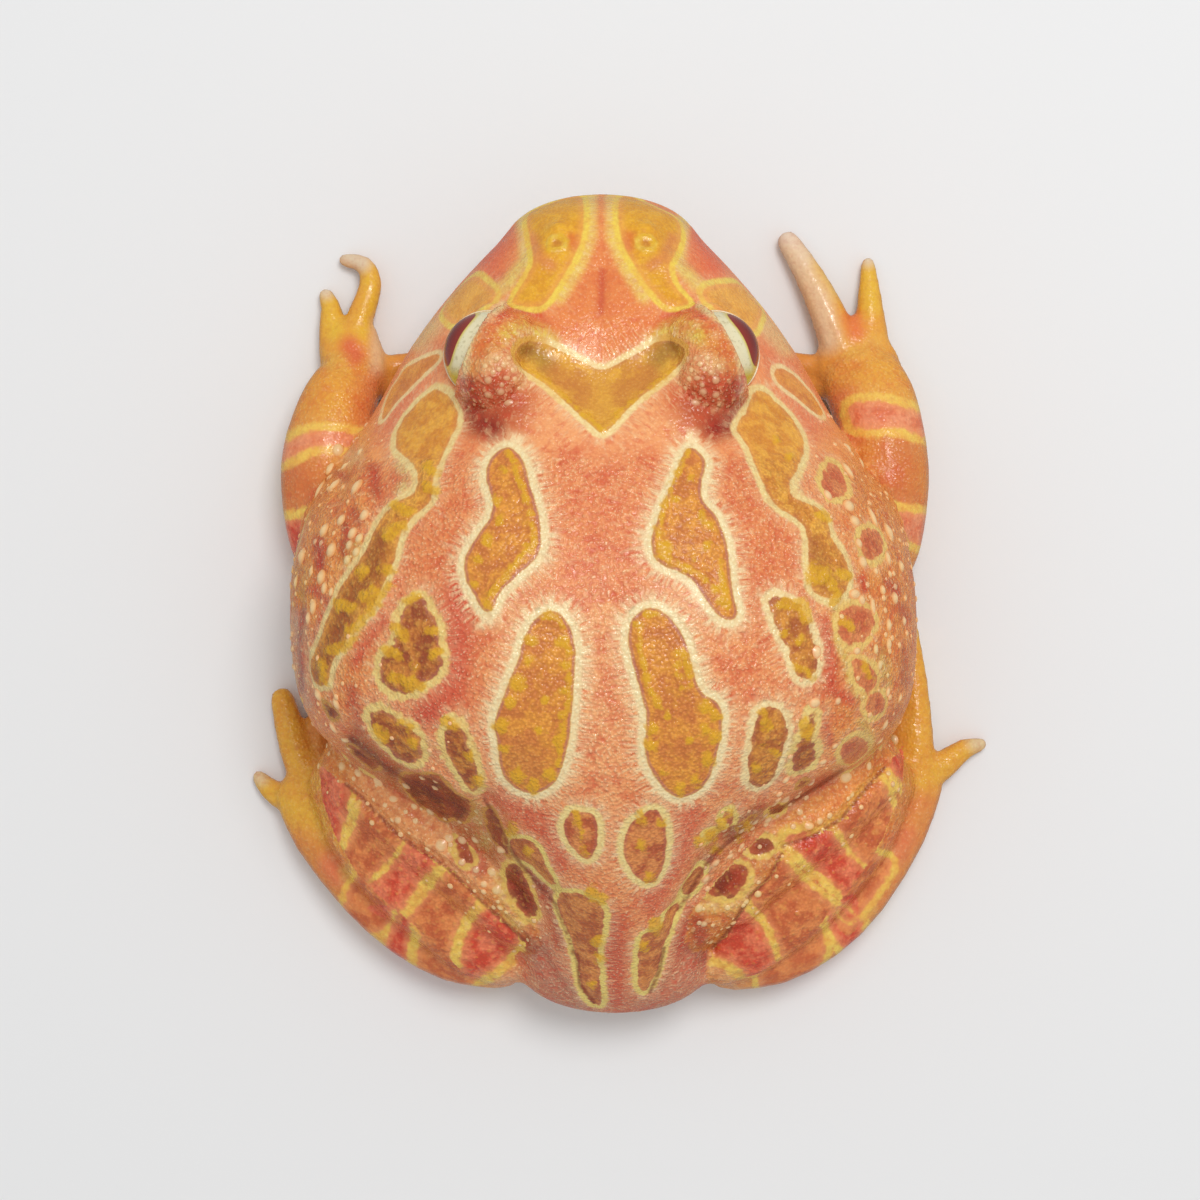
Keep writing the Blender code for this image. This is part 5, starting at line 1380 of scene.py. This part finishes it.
own_size = grow("InputNamedAttribute", {"Name": "wart_size"}, "Attribute", data_type="FLOAT")
chance = grow("RandomValue", {2: LEAST_WART, 3: MOST_WART, "Seed": given["Seed"]}, 1, "FunctionNode",
              data_type="FLOAT")
size = times(warts_tree, times(warts_tree, own_size, chance), given["Radius"])
placed = grow("InstanceOnPoints", {"Points": scatter.outputs["Points"], "Instance": cone,
                                   "Rotation": scatter.outputs["Rotation"], "Scale": size}, "Instances")
real = grow("RealizeInstances", {"Geometry": placed})
smooth = grow("SetShadeSmooth", {"Geometry": real})
finished = grow("SetMaterial", {"Geometry": smooth, "Material": wart_material})
warts_tree.links.new(finished, warts_tree.nodes.new("NodeGroupOutput").inputs["Geometry"])

hide_copy = plain_object("wart ground", skin_mesh.copy())
modifier = hide_copy.modifiers.new("warts", "NODES")
modifier.node_group = warts_tree
for identifier, value in wart_inputs.items():
    modifier[identifier] = value
wart_mesh = bpy.data.meshes.new_from_object(hide_copy.evaluated_get(bpy.context.evaluated_depsgraph_get()))
bpy.data.objects.remove(hide_copy)
warts = plain_object("warts", wart_mesh)
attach(warts, "root")

# The largest warts are one mesh of blunt domes, each sunk a little into the hide. Each has a place of its
# own in the photograph: its pixel, and its half width and half height there. The granules of the lids are
# the lowest and the least pale, and those of the left lid are mirrored for the right one.
LID_GRANULES = (
    (488, 380, 3, 3), (499, 369, 2, 2), (507, 378, 3, 2), (513, 370, 2, 2), (497, 358, 2, 2),
    (485, 366, 2, 2), (493, 372, 2, 2), (504, 364, 2, 2), (502, 385, 2, 2), (515, 379, 2, 2),
    (508, 402, 4, 3), (488, 395, 3, 3), (501, 392, 3, 3), (519, 388, 2, 2), (509, 358, 2, 2),
)
LID_MIRROR = 1204
FLANK_WARTS = (
    (345, 466, 4, 5), (334, 485, 5, 7), (319, 490, 4, 9), (330, 468, 4, 6), (338, 450, 5, 6),
    (360, 452, 4, 4), (356, 487, 6, 7), (364, 515, 5, 5), (341, 520, 5, 5), (324, 530, 6, 6),
    (352, 533, 5, 5), (359, 538, 4, 4), (331, 550, 6, 6), (349, 545, 4, 4), (356, 552, 4, 4),
    (302, 556, 7, 7), (311, 571, 3, 5), (296, 582, 4, 6), (321, 577, 6, 6), (324, 588, 4, 5),
    (347, 560, 4, 4), (331, 592, 3, 4), (313, 607, 5, 6), (308, 618, 4, 5), (336, 704, 4, 5),
    (318, 695, 5, 5), (333, 728, 4, 5), (345, 740, 4, 4), (848, 448, 4, 5), (861, 463, 4, 6),
    (848, 470, 4, 8), (828, 495, 4, 5), (855, 521, 6, 5), (873, 517, 4, 9), (889, 532, 6, 8),
    (859, 543, 4, 4), (863, 562, 5, 5), (888, 558, 4, 6), (901, 566, 5, 5), (876, 571, 3, 3),
    (890, 574, 3, 3), (883, 590, 4, 4), (855, 594, 6, 4), (895, 598, 5, 5), (849, 506, 6, 5),
    (862, 600, 4, 4), (873, 606, 3, 7), (889, 625, 4, 5), (904, 621, 4, 4), (889, 644, 4, 5),
    (876, 649, 3, 4), (857, 651, 4, 3), (880, 665, 3, 4), (888, 692, 3, 4), (900, 698, 3, 4),
    (885, 725, 4, 5), (894, 740, 4, 5), (880, 741, 3, 4), (835, 746, 3, 3), (846, 777, 6, 5),
    (869, 766, 3, 4), (811, 783, 4, 4), (838, 701, 3, 3), (815, 703, 5, 4), (852, 795, 3, 3),
    (786, 780, 3, 4), (823, 762, 4, 3), (817, 652, 4, 5),
)
HIP_WARTS = (
    (342, 766, 4, 4), (358, 773, 4, 4), (378, 782, 5, 5), (393, 799, 4, 3), (406, 786, 5, 4),
    (398, 820, 3, 3), (414, 806, 3, 3), (430, 812, 4, 4), (422, 778, 3, 3), (435, 788, 3, 3),
    (441, 845, 5, 5), (449, 838, 4, 4), (462, 840, 4, 4), (475, 840, 4, 4), (476, 870, 3, 3),
    (501, 850, 4, 4), (492, 872, 4, 4), (497, 890, 4, 4), (500, 908, 3, 3), (462, 862, 3, 3),
    (484, 884, 3, 3), (755, 822, 4, 4), (768, 820, 4, 4), (809, 826, 4, 3), (820, 821, 3, 3),
    (716, 863, 4, 4), (706, 879, 4, 4), (699, 908, 4, 4), (786, 800, 4, 4), (800, 812, 3, 3),
    (742, 846, 3, 3), (730, 856, 4, 3), (758, 894, 3, 3), (746, 902, 3, 3), (704, 924, 3, 3),
)
GRANULE_PALENESS, FLANK_PALENESS, HIP_PALENESS = 0.6, 1.0, 0.9
LARGE_WART_SPOKES = 14
LARGE_WART_RINGS = 7
WART_SKIRT = 1.5
WART_HEIGHT = 0.68
GRANULE_HEIGHT = 0.5
LARGE_WART_SINK = 0.22


def capped_rings(rings, spokes):
    """The faces of a closed form of rings of points between two poles, its first and last points."""
    faces = [(0, 1 + k, 1 + (k + 1) % spokes) for k in range(spokes)]
    for first in range(1, 1 + (rings - 1) * spokes, spokes):
        faces += [(first + k, first + spokes + k, first + spokes + (k + 1) % spokes,
                   first + (k + 1) % spokes) for k in range(spokes)]
    first, last = 1 + (rings - 1) * spokes, 1 + rings * spokes
    return faces + [(last, first + (k + 1) % spokes, first + k) for k in range(spokes)]


skin_tree = BVHTree.FromPolygons(points.tolist(), triangles.tolist())
skin_corners = KDTree(len(points))
for number, point in enumerate(points):
    skin_corners.insert(point, number)
skin_corners.balance()
steps = np.linspace(0, WART_SKIRT, LARGE_WART_RINGS + 1)[1:]
spokes = np.linspace(0, 2 * math.pi, LARGE_WART_SPOKES, endpoint=False)
dome = np.vstack(([(0, 0, 1)], np.column_stack((
    np.outer(steps, np.cos(spokes)).ravel(), np.outer(steps, np.sin(spokes)).ravel(),
    np.repeat(bell(steps, 1.15 * WART_SKIRT), LARGE_WART_SPOKES))), [(0, 0, -1)]))
dome_faces = capped_rings(LARGE_WART_RINGS, LARGE_WART_SPOKES)

granules = LID_GRANULES + tuple((LID_MIRROR - across, *rest) for across, *rest in LID_GRANULES)
wart_points, wart_faces, wart_tones, wart_paleness = [], [], [], []
for places, paleness, steepness in ((granules, GRANULE_PALENESS, GRANULE_HEIGHT),
                                    (FLANK_WARTS, FLANK_PALENESS, WART_HEIGHT),
                                    (HIP_WARTS, HIP_PALENESS, WART_HEIGHT)):
    for across, down, half_width, half_height in places:
        spot, upright = skin_tree.ray_cast(CAMERA_PLACE, sight_line((across, down)))[:2]
        lengthwise = (Vector((0, 1, 0)) - upright * upright.y).normalized()
        sideways = lengthwise.cross(upright)
        thick = steepness * min(half_width, half_height) * PHOTO_PIXEL * MM
        wide, long = half_width * PHOTO_PIXEL * MM, half_height * PHOTO_PIXEL * MM
        arms = np.array([sideways * wide, lengthwise * long, upright * thick])
        wart_faces += [tuple(k + len(wart_points) * len(dome) for k in face) for face in dome_faces]
        wart_points.append(np.array(spot) - LARGE_WART_SINK * thick * np.array(upright) + dome @ arms)
        wart_tones.append(np.tile(ground[skin_corners.find(spot)[1]], (len(dome), 1)))
        wart_paleness.append(np.full(len(dome), paleness))
large_mesh = bpy.data.meshes.new("large warts")
large_mesh.from_pydata(np.concatenate(wart_points).tolist(), [], wart_faces)
keep_values(large_mesh, "tip", np.tile(dome[:, 2], len(wart_points)))
keep_values(large_mesh, "ground", np.concatenate(wart_tones))
keep_values(large_mesh, "paleness", np.concatenate(wart_paleness))
large_mesh.shade_smooth()
large_mesh.materials.append(wart_material)
large_warts = plain_object("large_warts", large_mesh)
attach(large_warts, "root")

# Each eye is a glossy ball with a slight bulge of clear cornea, a wide dark red pupil that lies level, and
# a pale iris with fine brown veins that yellows towards the corners. The pupil's lower part carries a
# painted reflection and the iris darkens towards the lids with painted shade. The balls sit loose in the
# sockets.
EYE_FORWARD = math.radians(28)
EYE_UPWARD = math.radians(18)
PUPIL_HALF_LENGTH = 41.0
PUPIL_HALF_HEIGHT = 26.0
PUPIL_SQUARENESS = 2.4
CORNEA_ANGLE = 50.0
CORNEA_BULGE = 0.22 * MM
EYE_RINGS = 64
EYE_SPOKES = 96
IRIS_PALE = "#E6DDB6"
IRIS_YELLOW = "#CDB62A"
IRIS_VEIN = "#9A8A56"
IRIS_INNER = "#D2B92C"
IRIS_LID_SHADE = "#A08A5A"
PUPIL_DARK = "#741A14"
PUPIL_EDGE = "#8E3026"
PUPIL_PAINTED_REFLECTION = "#B48C88"

eye_material, tree, shader = new_material("eye", 0.25)
place = add(tree, "TexCoord", out="Object")
vein_noise = add(tree, "TexNoise", {"Vector": place, "Scale": 1500.0, "Detail": 4.0, "Roughness": 0.7})
far_noise = add(tree, "TexNoise", {"Vector": place, "Scale": 500.0, "Detail": 2.0})
pupil_at = plus(tree, value_of(tree, "pupil"), times(tree, far_noise, 0.04))
iris = mixed(tree, ease(tree, value_of(tree, "corner"), 32.0, 56.0), tint(IRIS_PALE), tint(IRIS_YELLOW))
iris = covered(ease(tree, vein_noise, 0.52, 0.68, 0.0, 0.45), iris, IRIS_VEIN)
iris = covered(ease(tree, pupil_at, 1.0, 1.25, 0.85, 0.0), iris, IRIS_INNER)
# Far out from the pupil, where the lids overhang, the iris is greyed with painted shade.
iris = covered(ease(tree, pupil_at, 1.9, 2.4), iris, IRIS_LID_SHADE)
pupil = mixed(tree, ease(tree, pupil_at, 0.3, 1.0), tint(PUPIL_DARK), tint(PUPIL_EDGE))
# The lower part of the pupil is paled towards pinkish grey: painted reflection.
pupil = covered(ease(tree, value_of(tree, "low"), 0.0, 20.0, 0.0, 0.5), pupil, PUPIL_PAINTED_REFLECTION)
tree.links.new(mixed(tree, ease(tree, pupil_at, 1.0, 1.05), pupil, iris), shader.inputs["Base Color"])
shader.inputs["Specular IOR Level"].default_value = 0.2
shader.inputs["Coat Weight"].default_value = 0.5
shader.inputs["Coat Roughness"].default_value = 0.04

for side, node in EYES.items():
    sideways = 1 if side == "left" else -1
    gaze = np.array((sideways * math.cos(EYE_UPWARD) * math.cos(EYE_FORWARD),
                     -math.cos(EYE_UPWARD) * math.sin(EYE_FORWARD), math.sin(EYE_UPWARD)))
    across = np.cross(gaze, (0, 0, 1))
    across /= np.linalg.norm(across)
    upward = np.cross(across, gaze)
    angle = np.linspace(0, 180, EYE_RINGS + 1)[1:-1]
    turn = np.linspace(0, 2 * math.pi, EYE_SPOKES, endpoint=False)
    angles = np.concatenate(([0.0], np.repeat(angle, EYE_SPOKES), [180.0]))
    turns = np.concatenate(([0.0], np.tile(turn, len(angle)), [0.0]))
    out = np.radians(angles)
    sidelong = np.cos(turns)[:, None] * across + np.sin(turns)[:, None] * upward
    direction = np.cos(out)[:, None] * gaze + np.sin(out)[:, None] * sidelong
    radius = eye_radius + CORNEA_BULGE * bell(angles, CORNEA_ANGLE)
    ball = eye_centres[side] + direction * radius[:, None]
    eye_mesh = bpy.data.meshes.new(node)
    eye_mesh.from_pydata(ball.tolist(), [], capped_rings(len(angle), EYE_SPOKES))
    sideways_angle, upward_angle = np.abs(angles * np.cos(turns)), np.abs(angles * np.sin(turns))
    pupil_size = ((sideways_angle / PUPIL_HALF_LENGTH) ** PUPIL_SQUARENESS
                  + (upward_angle / PUPIL_HALF_HEIGHT) ** PUPIL_SQUARENESS) ** (1 / PUPIL_SQUARENESS)
    keep_values(eye_mesh, "pupil", pupil_size)
    keep_values(eye_mesh, "corner", -sideways * angles * np.cos(turns))
    keep_values(eye_mesh, "low", -angles * np.sin(turns))
    eye_mesh.shade_smooth()
    eye_mesh.materials.append(eye_material)
    eye = plain_object("eyeball_" + side, eye_mesh)
    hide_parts(node)
    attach(eye, "root")

# The lower lid is a thin fold of hide that lies on the ball from its front corner to its rear one, with a
# pale rolled edge. The real one slides up over the eye when the frog blinks.
LOWER_LID_SWEEP = 86
LOWER_LID_STEPS = 48
CORNER_RISE = 16
CORNER_SINK = 0.10
# The outline of the lid across its edge: degrees above the middle of the eye, mm off the ball and how much
# of the pale edge colour shows.
LOWER_LID_PROFILE = (
    (-62, -0.10, 0.0), (-48, 0.04, 0.0), (-30, 0.10, 0.0), (-16, 0.13, 0.0), (-8, 0.17, 0.25),
    (-3, 0.20, 0.9), (0, 0.17, 1.0), (1, 0.08, 1.0), (0, -0.10, 1.0),
)
LOWER_LID_COLOUR = "#DE8E54"
LOWER_EDGE_COLOUR = "#F0DDBC"

lid_points, lid_faces, lid_ground = [], [], []
for side, centre in eye_centres.items():
    sideways = 1 if side == "left" else -1
    base = len(lid_points)
    for sweep in np.linspace(-LOWER_LID_SWEEP, LOWER_LID_SWEEP, LOWER_LID_STEPS):
        away = math.radians(sweep) - EYE_FORWARD
        corner_share = (sweep / LOWER_LID_SWEEP) ** 4
        for degrees, off, paleness in LOWER_LID_PROFILE:
            up = math.radians(degrees + CORNER_RISE * corner_share)
            reach = eye_radius + (off * (1 - corner_share) - CORNER_SINK * corner_share) * MM
            direction = np.array((sideways * math.cos(up) * math.cos(away), math.cos(up) * math.sin(away),
                                  math.sin(up)))
            lid_points.append(centre + direction * reach)
            lid_colour, edge_colour = tint(LOWER_LID_COLOUR), tint(LOWER_EDGE_COLOUR)
            lid_ground.append(lid_colour + (edge_colour - lid_colour) * paleness)
    rows = len(LOWER_LID_PROFILE)
    for step in range(LOWER_LID_STEPS - 1):
        for k in range(rows):
            corners = [base + step * rows + k, base + step * rows + (k + 1) % rows,
                       base + (step + 1) * rows + (k + 1) % rows, base + (step + 1) * rows + k]
            lid_faces.append(tuple(corners if side == "right" else corners[::-1]))
    for row, turned in ((0, side == "right"), (LOWER_LID_STEPS - 1, side == "left")):
        cap = [base + row * rows + k for k in range(rows)]
        lid_faces.append(tuple(cap[::-1] if turned else cap))
lid_mesh = bpy.data.meshes.new("lower lids")
lid_mesh.from_pydata(np.array(lid_points).tolist(), [], lid_faces)
keep_values(lid_mesh, "tip", np.zeros(len(lid_points)))
keep_values(lid_mesh, "ground", np.array(lid_ground))
keep_values(lid_mesh, "paleness", np.ones(len(lid_points)))
lid_mesh.shade_smooth()
lid_mesh.materials.append(wart_material)
lower_lids = plain_object("lower_lids", lid_mesh)
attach(lower_lids, "root")

# The floor is a wide pale board, and the light is that of a white tent: even from all sides, a little
# stronger from above the head.
FLOOR_HALF = 1.6
FLOOR_ALBEDO = 0.82
floor_mesh = bpy.data.meshes.new("floor")
floor_mesh.from_pydata([(-FLOOR_HALF, -FLOOR_HALF, 0), (FLOOR_HALF, -FLOOR_HALF, 0),
                        (FLOOR_HALF, FLOOR_HALF, 0), (-FLOOR_HALF, FLOOR_HALF, 0)], [], [(0, 1, 2, 3)])
floor = plain_object("floor", floor_mesh)
board = bpy.data.materials.new("floor")
board.use_nodes = True
board_shader = board.node_tree.nodes["Principled BSDF"]
board_shader.inputs["Base Color"].default_value = (FLOOR_ALBEDO, FLOOR_ALBEDO, FLOOR_ALBEDO, 1)
board_shader.inputs["Roughness"].default_value = 0.7
floor_mesh.materials.append(board)
floor.visible_glossy = False

TENT_STRENGTH = 0.62
LOW_TENT_STRENGTH = 0.35
world = bpy.data.worlds.new("tent")
world.use_nodes = True
tree = world.node_tree
background = tree.nodes["Background"]
background.inputs["Color"].default_value = (0.985, 0.995, 1.0, 1)
skyward = add(tree, "SeparateXYZ", {0: add(tree, "TexCoord", out="Generated")}, out="Z")
tree.links.new(ease(tree, skyward, -0.15, 0.1, LOW_TENT_STRENGTH, TENT_STRENGTH),
               background.inputs["Strength"])
bpy.context.scene.world = world
bpy.context.scene.view_settings.view_transform = "Standard"

# The small window lights nothing by itself: it only makes the glints of the moist hide and of the eyes.
for name, place, width, power, lights in (("softbox", (-0.16, -0.30, 0.80), 0.40, 3.2, True),
                                          ("window", (-0.12, -0.26, 0.75), 0.06, 1.5, False)):
    lamp = bpy.data.lights.new(name, "AREA")
    lamp.shape = "DISK"
    lamp.size = width
    lamp.energy = power
    stand = bpy.data.objects.new(name, lamp)
    stand.visible_diffuse = lights
    stand.location = place
    stand.rotation_euler = (-Vector(place)).to_track_quat("-Z", "Y").to_euler()
    bpy.context.scene.collection.objects.link(stand)
